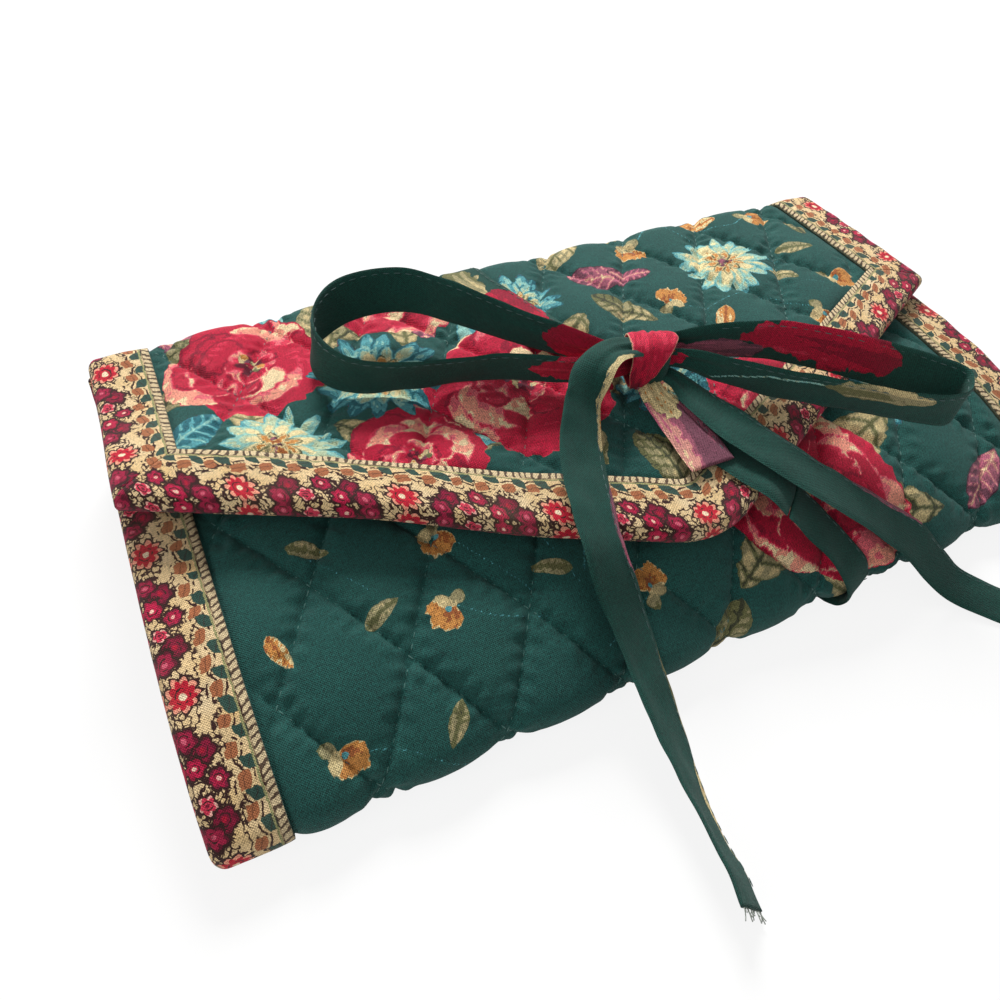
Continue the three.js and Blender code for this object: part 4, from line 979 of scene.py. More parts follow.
def quiltOffset(x, s):
    seed = quiltLook["seed"]
    seams = seamPlaces(x, s)
    pillow = puffed(seams[0][0]) * puffed(seams[1][0])
    height = quiltLook["seam"] + (quiltLook["crown"] - quiltLook["seam"]) * pillow
    height += 0.16 * ripple(x, s, 22, seed) * pillow
    for number, (off, along) in enumerate(seams):
        wave = ripple(along, off * 0.5, 4.2, seed + number + 1, 8)
        height += quiltLook["pucker"] * wave * np.exp(-((off - 2.2) ** 2) / 6)
        pits = 0.5 + 0.5 * np.cos(2 * math.pi * along / stitchLook["pitch"])
        height -= stitchLook["pit"] * pits * np.exp(-((off / 0.75) ** 2))
    return height


# Height of the cloth where it dips under a binding, from the distance inside the binding's edge
def drawnIn(height, inside):
    recess = quiltLook["recess"]
    share = 1 - np.exp(-np.maximum(inside, 0) / quiltLook["drawn"])
    return np.where(inside > 0, recess + (height - recess) * share, recess)


bodyHalf = pouchSize["length"] / 2 - pouchSize["sideWall"] - pouchSize["clearance"]
bodyTrimEdge = pouchSize["length"] / 2 - pouchSize["trim"]
flapTrimEdge = flapSize["half"] - pouchSize["trim"]
mouthEdge = body.total - pouchSize["mouthTrim"]
slant = math.atan2(flapSize["cornerY"] - flapSize["tipY"], flapSize["half"])


# The flap's front edge, drawn in by an inset: its Y at any x, with the blunt tip
def slantY(x, inset):
    x = np.abs(np.asarray(x, float))
    tipY = flapSize["tipY"] + inset / math.cos(slant)
    bend = max(flapSize["tipRound"] - inset * 0.7, 1.0) * math.cos(slant)
    rise = math.tan(slant)
    half = bend * rise / 2
    near = np.clip(x / bend, 0, 1)
    return np.where(x < bend, tipY + half + half * near**2, tipY + x * rise)


# Columns across the quilting, fine where it shows and coarse under the bindings
def quiltColumns(half, trimEdge):
    fine, coarse = quiltLook["fine"], quiltLook["coarse"]
    edge = trimEdge + 1
    return steps((-half, -edge, coarse), (-edge, edge, fine), (edge, half, coarse))


# Rows from the mouth round to the rear fold, fine where the body shows in front of the flap
def bodyRows():
    panelStart, panelHidden = (float(body.lengthAtY(y, body.total * 0.55)) for y in (-62, 9))
    noseEnd = panelStart - 18
    hidden = [(body.total - pouchSize["endGap"], mouthEdge + 1, 2.2), (mouthEdge + 1, panelHidden, 1.2)]
    shown = [(panelHidden, panelStart, quiltLook["fine"]), (panelStart, noseEnd, 0.9)]
    return steps(*hidden, *shown, (noseEnd, 0, 1.5))


foldRows = np.array([0.0, 0.5, 1.0, 1.6])
flapZero = float(flap.lengthAtY(quiltLook["flapY"], flapSize["radius"]))
underZero = float(np.interp(0, -body.points[:60, 0], body.s[:60]))
phaseGap = (underZero + flapZero) % quiltLook["length"]


# The quilting runs on from the flap round the rear edge: its diamonds are a little longer under the
# pouch
def bodyQuiltPlace(s):
    share = np.clip(np.asarray(s) / pouchSize["depth"], 0, 1)
    return s - underZero + phaseGap * (1 - share * share * (3 - 2 * share))


def flapQuiltPlace(s):
    return s - flapZero


def clothHeight(profile, x, s, place, inside):
    height = drawnIn(quiltOffset(x, place), inside)
    base, normals = profile.faceAt(x, s)
    room = strapRoom(base.reshape(-1, 3), normals.reshape(-1, 3)).reshape(x.shape)
    height = np.minimum(height, np.maximum(room, layerDepth["cover"][1] + 0.35))
    z, nz = profile.at(s)[1::2]
    floor = np.where(nz < -0.5, (z - 0.02) / -np.minimum(nz, -0.5), 9.0)
    return np.minimum(height, floor)


# Height at the fold line, the same for what lies before and behind it
def foldHeight(x):
    return drawnIn(quiltOffset(x, np.full_like(x, -flapZero)), bodyTrimEdge - np.abs(x))


def bodyQuilt():
    inner = layerDepth["cover"][1]
    columns = quiltColumns(bodyHalf, bodyTrimEdge)
    x, s = np.meshgrid(columns, bodyRows())
    inside = np.minimum(bodyTrimEdge - np.abs(x), mouthEdge - s)
    height = clothHeight(body, x, s, bodyQuiltPlace(s), inside)
    outer = body.place(x, s, height)
    topZ = pouchSize["spineTop"] - 0.2
    outer[..., 2] = np.where(outer[..., 1] < 60, np.minimum(outer[..., 2], topZ), outer[..., 2])
    overX, overS = np.meshgrid(columns, foldRows)
    over = flap.place(overX, overS, foldHeight(columns)[None, :] * np.ones_like(overX))
    under = np.concatenate([body.place(x, s, inner), flap.place(overX, overS, inner)])
    place = np.stack([np.concatenate([x, overX]), np.concatenate([-s, overS])], -1)
    return np.concatenate([outer, over]), under, place


# A grid on the flap whose rows fan out towards an edge drawn in from the slants
def flapGrid(columns, share, inset, start=0.0):
    ends = np.array([float(flap.lengthAtY(y, 3.0)) for y in slantY(columns, inset)])
    x = np.broadcast_to(columns, (len(share), len(columns))).copy()
    return x, start + share[:, None] * (ends[None, :] - start)


# The flap's cloth, whose slanted edge lies under its binding
def flapQuilt():
    columns = quiltColumns(flapSize["half"] - 5, flapTrimEdge)
    x, s = flapGrid(columns, steps((0, 1, 1 / 196)), 6.0, foldRows[-1])
    y = flap.at(s)[0]
    besides = flapTrimEdge - np.abs(x)
    inside = np.minimum(besides, (y - slantY(x, pouchSize["trim"])) * math.cos(slant))
    inside = np.where(y > rearY - 3, besides, inside)
    height = clothHeight(flap, x, s, flapQuiltPlace(s), inside)
    ramp = np.clip((s - foldRows[-1]) / 5, 0, 1)
    height = height * ramp + foldHeight(columns)[None, :] * (1 - ramp)
    return flap.place(x, s, height), flap.place(x, s, layerDepth["cover"][1]), np.stack([x, s], -1)


coverLook = {
    "ground": ("184641", "265c54"), "thread": 0.58, "checks": 0.4, "yarn": 3.8, "relief": 0.00016,
    "roughness": 0.8, "sheen": 0.05, "fade": "3f6d63", "fill": 0.5,
}
coverCloth = printedMaterial("printed quilted cotton", coverLook)

innerStep = quiltLook["innerStep"]
quiltBody = sheetPiece("quilted_body", *bodyQuilt(), coverCloth, innerStep, cloth, len(foldRows) + 1)
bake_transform(quiltBody)
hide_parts("body_cover")

quiltFlap = sheetPiece("quilted_flap", *flapQuilt(), coverCloth, innerStep, cloth)
declare(quiltFlap, "flap", "cover", "flap_cover")
print("quilted cloth:", len(quiltBody.data.polygons), "and", len(quiltFlap.data.polygons), "faces")

# Wadding and inner cloth, between the quilted cloth and the space inside: how deep each is dented,
# how far it turns up at the fold, and how far it stays back there
innerLook = {
    "batting": {"dent": 0.1, "lift": 0.0, "back": 0.9},
    "lining": {"dent": 0.12, "lift": 2.0, "back": 0.0},
    "seeds": {"body": 5, "flap": 9},
    "fill": 0.4, "width": 0.247, "flapLength": 0.132, "flapArea": 0.0235,
}
liningLook = dict(coverLook, yarn=1.2, checks=0.08, fade="7aa39a")
liningCloth = clothMaterial("plain lining cotton", "2c5f57", liningLook)
wadLook = dict(coverLook, thread=1.7, checks=0.02, yarn=0.9, relief=0.0006, sheen=0.3, fade="f3efe6")
wadding = clothMaterial("cotton wadding", "ddd6c6", wadLook)


def innerLayer(part, layer, profile, x, s):
    look = innerLook[layer]
    top, low = layerDepth[layer]
    # the lining turns up over the wadding's edge where body and flap meet
    turned = np.clip(1 - s / 1.2, 0, 1)
    dent = look["dent"] * np.clip(ripple(x, s, 16, innerLook["seeds"][part]), -1.5, 0.0)
    back = turned * look["back"]
    outer = profile.place(x, s + back, top + turned * look["lift"])
    under = profile.place(x, s + back, low - dent * 0.8)
    isLining = layer == "lining"
    name = part + "_" + layer
    fabric = liningCloth if isLining else wadding
    piece = sheetPiece(name + "_soft", outer, under, np.stack([x, s], -1), fabric)
    declare(piece, "pouch" if part == "body" else "flap", layer, name)
    if not isLining:
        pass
    elif part == "body":
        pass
    else:
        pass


coarse = quiltLook["coarse"]
bodyLengths = steps((0, 3, 0.6), (3, body.total - pouchSize["endGap"], coarse))
bodyPlaces = np.meshgrid(steps((-bodyHalf, bodyHalf, coarse)), bodyLengths)
flapInner = flapSize["half"] - 2.2
flapShares = steps((0, 0.03, 0.005), (0.03, 1, 1 / 46))
flapPlaces = flapGrid(steps((-flapInner, flapInner, coarse)), flapShares, 2.4)
for part, profile, places in (("body", body, bodyPlaces), ("flap", flap, flapPlaces)):
    for layer in ("batting", "lining"):
        innerLayer(part, layer, profile, *places)
print("wadding and lining laid")


# Border-print bindings. A flower of the border has a shift by repeats, its place along and across, its
# size and number of petals, and the colours of its rim, petals and eye.
bindingLook = {
    "thread": 0.58, "checks": 0.35, "yarn": 2.8, "relief": 0.00016, "roughness": 0.8, "sheen": 0.06,
    "fade": "b9a98a", "repeat": 36.0, "leafPitch": 3.1, "bead": 1.8, "cream": "d8c29c", "straw": "d0ae76",
    "outline": "2f1512", "green": "2b463d", "brown": "9c5f3d", "rope": "c8b48e", "vine": "8c8b5e",
    "flowers": (
        (0.5, 6.6, 11.6, 3.0, 5, "5b0f24", "7d1030", "a3122f"),
        (0.5, -6.8, 11.4, 3.0, 5, "5b0f24", "7d1030", "a3122f"),
        (0.5, 0.4, 10.2, 2.4, 6, "6d1430", "a3173c", "dfa698"),
        (0.5, 9.4, 14.4, 2.9, 5, "5b0f24", "94183a", "c4556a"),
        (0.5, -9.8, 14.2, 2.9, 5, "5b0f24", "94183a", "c4556a"),
        (0.5, 3.6, 14.0, 2.6, 6, "8a1030", "b01740", "e0b9a4"),
        (0.5, -3.4, 13.6, 2.2, 5, "dfa698", "c4324c", "6d1028"),
        (0.0, 0.4, 12.4, 4.0, 9, "e0937a", "b4142c", "e4cfae"),
    ),
}


# The border's own places: along and across it in millimetres, with the noises that make it uneven
class Border:
    def __init__(self, graph, look):
        self.graph = graph
        self.look = look
        place, u, v = graph.clothPlace()
        self.jitter = graph.noise(place, 75, 2.0) - 0.5
        self.sway = graph.noise(place, 14, 1.0) - 0.5
        self.contour = graph.noise(place, 58, 1.0) - 0.5
        wide = pouchSize["trim"]
        self.across = wide - abs(v - wide) + self.jitter * 0.9
        self.along = u + self.sway * 3 + self.jitter * 0.9
        self.wave = (self.along * (4 * math.pi / look["repeat"]) - math.pi / 2).sin()
        self.colour = graph.mix(self.sway * 1.4 + 0.5, look["cream"], look["straw"])

    # A share of a colour printed over what is there: a name of the look, a hex code or a link
    def dye(self, share, colour):
        self.colour = self.graph.mix(share, self.colour, self.look.get(colour, colour))

    # Place along the repeat in millimetres, from the middle of the cell
    def cell(self, step, shift=0.0):
        turn = self.along / step + shift
        return turn.floor(), (turn - turn.floor() - 0.5) * step

    def band(self, centre, half):
        return abs(self.across - centre).fall(half, half + 0.15)

    def near(self, x, y):
        return (x * x + y * y).maths("SQRT")

    # Squiggled outlines along both sides of the pale wave
    def squiggles(self):
        squiggle = abs(self.contour).fall(0.03, 0.065)
        beside = self.across - (self.wave * 1.5 + 8.7)
        hooks = abs(beside).rise(0.9, 1.3) * (0 - beside).fall(2.4, 3.2)
        self.dye(squiggle * hooks, "outline")
        return squiggle

    # Leaves in turn green and brown, at two heights
    def leaves(self, squiggle):
        number, x = self.cell(self.look["leafPitch"])
        even = (number * 0.5 - (number * 0.5).floor()) * 2
        third = number / 3 - (number / 3).floor()
        y = self.across - 4.7 - (even - 0.5) * 2.2 - third * 1.2
        lean = x + y * (even - 0.5) * 1.1
        leaf = self.near(lean / 1.8, y / (1.45 - (even - 0.5) * 0.2)) + self.jitter * 0.4
        rim = abs(leaf - 1.62).fall(0.12, 0.22)
        self.dye(rim * squiggle.most((self.contour * 9).rise(0, 0.4)), "outline")
        leafColour = self.graph.mix(even, self.look["green"], self.look["brown"])
        self.dye(leaf.fall(1.0, 1.1), leafColour)
        rib = abs(y + lean * 0.35).fall(0.05, 0.2)
        self.dye(rib * leaf.fall(0.7, 0.85) * 0.6, "outline")

    # Flowers at the outer edge: one full rosette, then a cluster of dark blossoms
    def flower(self, shift, along, centre, size, petals, rim, main, eye):
        _, x = self.cell(self.look["repeat"], shift)
        x = x - along
        y = self.across - centre
        far = self.near(x, y)
        turn = self.graph.node("Math", {"operation": "ARCTAN2"}, [y, x])
        edge = (abs((turn * (petals / 2)).sin()) * 0.3 + 0.7) * size
        thorn = ((turn * 17 + self.contour * 9).sin() * 0.9 - 0.1).most(0.22)
        self.dye((far - edge - thorn).fall(-0.1, 0.1), "outline")
        self.dye((far - edge).fall(-0.42, -0.3), rim)
        inner = (abs((turn * (petals / 2) + 0.8).sin()) * 0.22 + 0.52) * size
        self.dye((far - inner).fall(-0.1, 0.05), main)
        ring = abs(far - size * 0.38).fall(0.08, 0.2)
        self.dye(ring * (self.contour * 5 + 0.5).rise(0.3, 0.5), "outline")
        self.dye(far.fall(size * 0.16, size * 0.22), eye)

    # Beaded rope between a thin vine and the inner edge, and a line of painted shade along that edge
    def rope(self):
        bead = self.look["bead"]
        _, twist = self.cell(bead)
        hook = abs(twist + (self.across - 1.4) * 0.5 - 0.1)
        cords = hook.rise(bead * 0.28, bead * 0.36) * 0.9
        rope = self.graph.mix(cords, self.look["rope"], self.look["outline"])
        self.dye(self.band(1.35, 1.05), rope)
        # painted shade: a thin dark green line along the very edge, where the binding meets the cloth
        self.dye(self.band(0.05, 0.28) * 0.85, "green")
        self.dye(self.band(2.55, 0.1) * (self.sway * 3 + 0.6), "outline")
        self.dye(self.band(2.95, 0.14), "vine")


def borderMaterial(name, look):
    border = Border(Graph(name), look)
    border.leaves(border.squiggles())
    for flower in look["flowers"]:
        border.flower(*flower)
    border.rope()
    return clothMaterial(name, border.colour, look)


borderCloth = borderMaterial("border print cotton", bindingLook)

# A binding folded round an edge: how far it stands off the cloth in its middle and at its rim, where
# it runs below, its thickness, the inset of the fold's start, and the flat sizes of each in metres
foldedLook = {
    "crown": 1.05, "rim": 0.75, "under": -5.4, "wall": 0.9, "ripple": 0.12, "turn": 2.6, "start": 0.1,
    "waveSize": 9,
    "flapSide": {"flat": (0.036, 0.075), "area": 0.0022},
    "flapSlants": {"flat": (0.036, 0.28), "area": 0.009},
    "mouth": {"flat": (0.024, 0.2215), "area": 0.0045},
    "bodySide": {"flat": (0.036, 0.262), "area": 0.0085},
}


# Length so far along a line of points
def lengthsSoFar(points):
    return np.concatenate([[0], np.cumsum(np.linalg.norm(np.diff(points, axis=0), axis=1))])


# Section of a binding folded round an edge: inset from the edge, offset from the cloth, and the way
# round it. It runs along the outside from the top flange to the one below, and back inside.
def foldedSection(topReach, underReach, look, points=15):
    top, low, turn = look["rim"], look["under"], look["turn"]
    radius = (top - low) / 2
    outside = []
    for q in np.linspace(0, 1, points):
        inset = topReach + (turn - topReach) * q
        puff = (look["crown"] - top) * math.sin(math.pi * min(q * 1.15, 1)) + top
        outside += [(inset, puff)] if q > 0 else [(inset, look["start"]), (inset - 0.15, puff)]
    for angle in np.radians(np.linspace(75, -75, 9)):
        outside.append((turn * (1 - math.cos(angle)), low + radius + radius * math.sin(angle)))
    outside += [(turn + (underReach - turn) * q, low) for q in np.linspace(0, 1, 7)]
    outside = np.array(outside)
    inside = outside[::-1].copy()
    raised = inside[:, 1] != look["start"]
    inside[raised, 0] = np.maximum(inside[raised, 0], 1.5)
    inside[:, 1] = np.minimum(np.maximum(inside[:, 1], low + look["wall"]), -0.2)
    way = lengthsSoFar(outside)
    return np.vstack([outside, inside]), np.concatenate([way, way[::-1]])


# The small waves of a binding's outside, over its length and its way round
def foldedWave(s, way, offset, seed, height=foldedLook["ripple"]):
    return height * ripple(s, way[None, :] * 0.5, foldedLook["waveSize"], seed) * (offset > -0.1)


# Length on the flap at which a point off it by an offset has the wanted Y
def flapLengthAt(y, offset):
    s = flap.lengthAtY(y, 3.0)
    for _ in range(2):
        ny = flap.at(s)[2]
        s = flap.lengthAtY(y - ny * offset, 3.0)
    return s


def bindingPiece(name, rings, u, way, bodyName, look, *nodes):
    uv = np.stack([np.broadcast_to(u, rings.shape[:2]), np.broadcast_to(way, rings.shape[:2])], -1)
    piece = declare(stripPiece(name, rings, uv, borderCloth), bodyName, "trim", *nodes)


flapSection, flapWay = foldedSection(pouchSize["trim"], flapSize["underTrim"], foldedLook)


def flapSideBinding(side, node):
    inset, offset = flapSection[:, 0], flapSection[:, 1]
    corner = np.array([float(flapLengthAt(slantY(flapSize["half"] - i, i), o)) for i, o in flapSection])
    share = steps((0, 0.3, 0.008), (0.3, 1, 0.014))
    s = share[:, None] * (corner[None, :] - 0.12)
    wave = foldedWave(s, flapWay, offset[None, :], 31 + side) * np.clip(s / 6, 0, 1)
    rings = flap.place(side * (flapSize["half"] - inset[None, :]), s, offset[None, :] + wave)
    bindingPiece(node + "_soft", rings, s + 3.0, flapWay, "flap", foldedLook["flapSide"], node)


# Both slants in one strip, which runs round the tip unbroken
def flapSlantBinding():
    span = steps((-1, 1, 0.0075))
    x = np.stack([span * (flapSize["half"] - inset) for inset, _ in flapSection], 1)
    s = np.stack([flapLengthAt(slantY(x[:, k], i), o) for k, (i, o) in enumerate(flapSection)], 1)
    u = x / math.cos(slant)
    offset = flapSection[:, 1][None, :]
    rings = flap.place(x, s, offset + foldedWave(u, flapWay, offset, 41))
    nodes = ("flap_binding_slant_left", "flap_binding_slant_right")
    bindingPiece("flap_binding_slants", rings, u + 200, flapWay, "flap", foldedLook["flapSlants"], *nodes)


def mouthBinding():
    section, way = foldedSection(pouchSize["mouthTrim"], pouchSize["mouthTrim"], foldedLook, 9)
    edge = bodyTrimEdge - pouchSize["clearance"]
    x = steps((-edge, edge, 2.0))[:, None]
    offset = section[:, 1][None, :]
    wave = foldedWave(x, way, offset, 51, 0.1)
    rings = body.place(x, body.total - section[:, 0][None, :], offset - 0.05 + wave)
    bindingPiece("mouth_binding_soft", rings, x, way, "pouch", foldedLook["mouth"], "mouth_binding")


flapSideBinding(-1, "flap_binding_side_left")
flapSideBinding(1, "flap_binding_side_right")
flapSlantBinding()
mouthBinding()

# The side binding: its flange, its rounded edge, and the end cloth closing in on the middle of the
# side, whose height is given by Y
sideLook = {
    "crown": 1.0, "rim": 0.7, "radius": 3.0, "start": 0.05, "ripple": 0.14, "wall": 0.9,
    "closing": (0.12, 0.27, 0.45, 0.65, 0.85, 0.985), "closingStep": 2.2, "frontInset": 8, "rearInset": 9,
    "middleY": (-30, 20), "middleZ": (7.0, 10.0, 14.5, 15.5),
}


# Across the flange and round the edge: x, and offset from the body's profile
def sideColumns(half, look):
    columns = []
    radius, rim = look["radius"], look["rim"]
    for q in np.linspace(0, 1, 14):
        x = bodyTrimEdge + (half - radius - bodyTrimEdge) * q
        puff = rim + (look["crown"] - rim) * math.sin(math.pi * q)
        columns += [(x, puff)] if q else [(x, look["start"]), (x + 0.12, puff)]
    for angle in np.radians(np.linspace(12, 84, 7)):
        columns.append((half - radius + radius * math.sin(angle), rim - radius + radius * math.cos(angle)))
    return np.array(columns)


# Rows of the end cloth, from the rounded edge towards the line along the middle of the side
def sideClosing(edge, side, half, look):
    y0, y1 = edge[:, 1].min() + look["frontInset"], edge[:, 1].max() - look["rearInset"]
    middleY = np.clip(edge[:, 1], y0, y1)
    middleZ = np.interp(middleY, [y0, *look["middleY"], y1], look["middleZ"])
    middle = np.column_stack([np.full(len(edge), side * (half + 0.1)), middleY, middleZ])
    for share in look["closing"]:
        ring = edge + (middle - edge) * share
        ring[:, 0] = side * (half - 0.15 + 0.5 * math.sin(math.pi * share))
        yield ring[:, None]


def sideBinding(side, node, look):
    half = pouchSize["length"] / 2
    rear = body.total - 112
    s = steps((0, 23, 1.0), (23, rear, 1.6), (rear, body.total, 0.9))
    columns = sideColumns(half, look)
    way = lengthsSoFar(columns)
    x, offset = columns[:, 0], columns[:, 1]
    wave = look["ripple"] * ripple(s[:, None], way[None, :] * 0.5, foldedLook["waveSize"], 61 + side)
    wave = wave * np.clip(way[None, :] - 0.3, 0, 1)
    wave = np.where(body.at(s)[3][:, None] < -0.5, np.minimum(wave, 0) * 0.3, wave)
    flange = body.place(side * x[None, :], s[:, None], offset[None, :] + wave)
    flange[..., 2] = np.maximum(flange[..., 2], 0.0)
    outer = np.concatenate([flange, *sideClosing(flange[:, -1], side, half, look)], axis=1)
    closing = np.cumsum([way[-1]] + [look["closingStep"]] * len(look["closing"]))
    ways = np.concatenate([way[:-1], closing])
    place = np.stack(np.broadcast_arrays(s[:, None], ways[None, :]), -1)
    under = outer.copy()
    inX, inOffset = np.minimum(x, half - 1.2), np.minimum(offset - look["wall"], -0.2)
    under[:, : len(columns)] = body.place(side * inX[None, :], s[:, None], inOffset[None, :])
    under[:, len(columns) :, 0] -= side * look["wall"]
    piece = sheetPiece(node + "_soft", outer, under, place, borderCloth)
    declare(piece, "pouch", "trim", node)


sideBinding(-1, "side_binding_left", sideLook)
sideBinding(1, "side_binding_right", sideLook)
print("bindings folded on")


# The tie's ribbons. A run's printed patches have their place along and across it, length, width and hue.
tieHue = {
    "warm": ("warm", (0.2, 0.36, 0.3, 0.55)),
    "dusk": ("dusk", (0.2, 0.42, 0.5, 0.66)),
    "leafy": ("leaf", (0.16, 0.36, 0.56, 0.6)),
    "cream": ("leaf", (0.72, 0.84, 0.7, 0.56)),
    "pale": ("dusk", (0.9, 0.78, 0.92, 0.6)),
}
tiePatches = {
    "tie_rise": [(-8, 0, 58, 36, "dusk"), (-4, -5, 34, 6, "pale"), (16, 0, 34, 18, "cream")],
    "tie_wrap_top": [
        (8, -2, 20, 12, "leafy"), (24, 2, 26, 14, "warm"), (40, -4, 20, 9, "leafy"),
        (54, 3, 24, 10, "warm"), (62, -4, 18, 7, "dusk"),
    ],
    "bow_loop_left": [(-4, 0, 34, 15, "warm"), (164, 0, 50, 18, "warm")],
    "bow_loop_right": [(104, 1, 44, 15, "warm"), (140, -3, 34, 8, "dusk"), (42, 3, 30, 7, "leafy")],
    "tie_tail_left": [
        (6, 5.6, 34, 4.4, "cream"), (48, 6.4, 30, 3.2, "dusk"), (92, 6.4, 26, 3.0, "leafy"),
        (118, 5.6, 26, 4.5, "cream"),
    ],
    "tie_tail_right": [(60, 6, 26, 3.5, "dusk")],
}
tieStem = {
    "run": "bow_loop_right",
    "path": ((-4, 14), (-1, 20), (2.5, 28), (3.5, 42)),
    "width": 0.8, "tone": 0.55,
}
tiePrint = {"half": 12, "between": 16, "pixel": 0.3, "seed": 71}
tiePetal = {"belly": 0.6, "ragged": 0.2, "streak": 1.2}


def paintTie(patches, look):
    starts, y = {}, float(look["half"])
    for name in tieRoutes:
        starts[name] = y
        y += tieLengths[name] + look["between"]
    strip = Painting(-look["half"], 0, look["half"], y, look["pixel"], look["seed"])
    for name, printed in patches.items():
        for along, across, length, width, hue in printed:
            place = (across, starts[name] + along)
            strip.petal(*place, math.pi / 2, length, width, *tieHue[hue], **tiePetal)
    loop = starts[tieStem["run"]]
    path = [(across, loop + along) for across, along in tieStem["path"]]
    strip.stem(path, tieStem["width"], tieStem["tone"])
    return strip, starts


tieCloth, tieStarts = paintTie(tiePatches, tiePrint)
tieLook = dict(coverLook, ground=("0f3a32", "195046"), yarn=3.4, checks=0.55)
tieMaterial = printedMaterial("printed tie cotton", tieLook)


# How the middle of a ribbon waves: pleats where it is gathered, and small creases along it
def ribbonWaves(name, w, along, share):
    seed = 80 + len(name) + sum(ord(c) for c in name) % 37
    phase = np.random.default_rng(seed).uniform(0, 2 * math.pi, 3)
    gather = np.clip((1 - share) / 0.5, 0, 1) ** 1.3
    drift = along * 0.02
    pleat = np.sin(w * 6.2 + phase[0] + drift) * 0.62 + np.sin(w * 11.5 + phase[1] - drift) * 0.33
    pleat = pleat * gather * 0.75 * np.clip(1.15 - np.abs(w), 0, 1)
    if name == "tie_rise":
        pleat = pleat + 0.3 * (np.sin(w * 15 + along * 0.05) + 0.9) * np.clip(along / 8, 0, 1)
    crease = tieSize["crease"] * ripple(along, w * 9, 11, seed)
    return pleat + crease * np.clip(along, 0, 3) / 3


def ribbonPiece(name):
    place, tangent, across, face, share, along = ribbons[name]
    share, length = share[:, None], along[:, None]
    w = np.linspace(-1, 1, tieSize["across"])
    hem = 0.8 + 0.2 * np.exp(-(((np.abs(w) - 0.8) / 0.12) ** 2))
    thick = restZ * np.sqrt(np.clip(1 - np.abs(w) ** 7, 0, 1)) * hem
    wide = w * (tieSize["width"] / 2 * share)
    middle = ribbonWaves(name, w[None, :], length, share)
    flat = place[:, None] + across[:, None] * wide[..., None]
    top = flat + face[:, None] * (middle + thick)[..., None]
    low = flat + face[:, None] * (middle - thick)[..., None]
    rings = np.concatenate([top, low[:, ::-1]], axis=1)
    rings[..., 2] = np.maximum(rings[..., 2], 0.0)
    wide = np.concatenate([wide, wide[:, ::-1]], axis=1)
    uv = np.stack([wide + 60, np.broadcast_to(length + tieStarts[name], wide.shape)], -1)
    flatWidth = np.concatenate([w, w[::-1]])[None, :] * tieSize["width"] / 2 * np.ones_like(wide)
    colours = tieCloth.at(flatWidth.ravel(), uv[..., 1].ravel())
    piece = stripPiece(name + "_ribbon", rings, uv, tieMaterial, colours)
    declare(piece, "pouch" if name in pouchTies else "flap", "tie", name)


for name in tieRoutes:
    ribbonPiece(name)
print("tie laid")


# Thread: fibres over a colour and a lighter one
def threadMaterial(name, colour, lighter):
    graph = Graph(name)
    fibre = graph.noise(graph.objectPlace(), 2600, 2.0)
    base = graph.mix(fibre, colour, lighter)
    bump = graph.bump(0.6, 0.00006, fibre)
    rough = fibre * 0.2 + 0.5
    return graph.finish({"Base Color": base, "Roughness": rough, "Normal": bump, "Sheen Weight": 0.2})


# Loose threads at the cut end of the tail that reaches the table
frayLook = {
    "run": "tie_tail_left",
    "threads": 17, "reach": 0.42, "longest": 2.8, "thick": 0.12, "splay": 1.0, "bends": 5, "sides": 4,
    "seed": 44,
}


def frayedEnd(look, material):
    place, tangent, across, face, share, _ = (part[-1] for part in ribbons[look["run"]])
    rng = np.random.default_rng(look["seed"])
    points, faces = [], []
    corners = np.linspace(0, 2 * math.pi, look["sides"] + 1)[:-1, None]
    section = look["thick"] * (np.cos(corners) * across + np.sin(corners) * face)
    for number, spot in enumerate(np.linspace(-look["reach"], look["reach"], look["threads"])):
        length = look["longest"] * rng.uniform(0.35, 1)
        lean, lift = rng.uniform(-1, 1, 2) * look["splay"]
        t = np.linspace(0, 1, look["bends"])[:, None]
        line = place + across * spot * tieSize["width"] * share + tangent * (t * length - 0.4)
        line = line + across * lean * t**2 * length * 0.4 + face * lift * t**1.5 * 0.8
        line[:, 2] = np.maximum(line[:, 2], look["thick"])
        points.append((line[:, None] + section).reshape(-1, 3))
        start = number * len(points[0])
        faces += [part + start for part in stripFaces(look["bends"], look["sides"])]
    declare(makePiece("tail_frayed_end", np.vstack(points), faces, material), "flap", "tie")


frayedEnd(frayLook, threadMaterial("loose thread", "5f6f68", "a8aba0"))

# The knot: a band of cloth drawn tight over a core of folded cloth, where the loops cross. Left and
# right are the band's edges along the knot's axis, by the angle round it from the top.
knotLook = {
    "place": (8.0, -4.2, 44.9), "axis": (0.94, -0.34, 0.0), "depth": 12.0, "height": 14.5, "square": 0.8,
    "core": 0.86, "coreHalf": 5.6,
    "left": ((-200, -5.0), (-90, -5.8), (0, -6.2), (50, -6.0), (90, -6.3), (130, -5.2), (165, -4.6)),
    "right": ((-200, 4.0), (-60, 5.6), (0, 6.7), (45, 4.2), (90, 1.1), (130, -2.4), (165, -3.6)),
    "rings": 110, "across": 25, "coreRings": 21, "coreAround": 48, "thickness": 0.9, "crease": 0.3,
    "fill": 0.9, "seeds": (92, 93, 95),
}


# The knot's section: out from its middle at an angle from the top, positive towards the front
def knotRound(angle, size):
    sin, cos = np.sin(angle), np.cos(angle)
    square = knotLook["square"]
    side = -np.sign(sin) * np.abs(sin) ** square * knotLook["depth"] / 2 * size
    height = np.sign(cos) * np.abs(cos) ** square * knotLook["height"] / 2 * size
    return side, height


def inKnot(along, side, height):
    axis = np.array(knotLook["axis"]) / np.linalg.norm(knotLook["axis"])
    across = np.array([-axis[1], axis[0], 0])
    spread = along[..., None] * axis + side[..., None] * across
    return spread + height[..., None] * np.array([0, 0, 1]) + np.array(knotLook["place"])
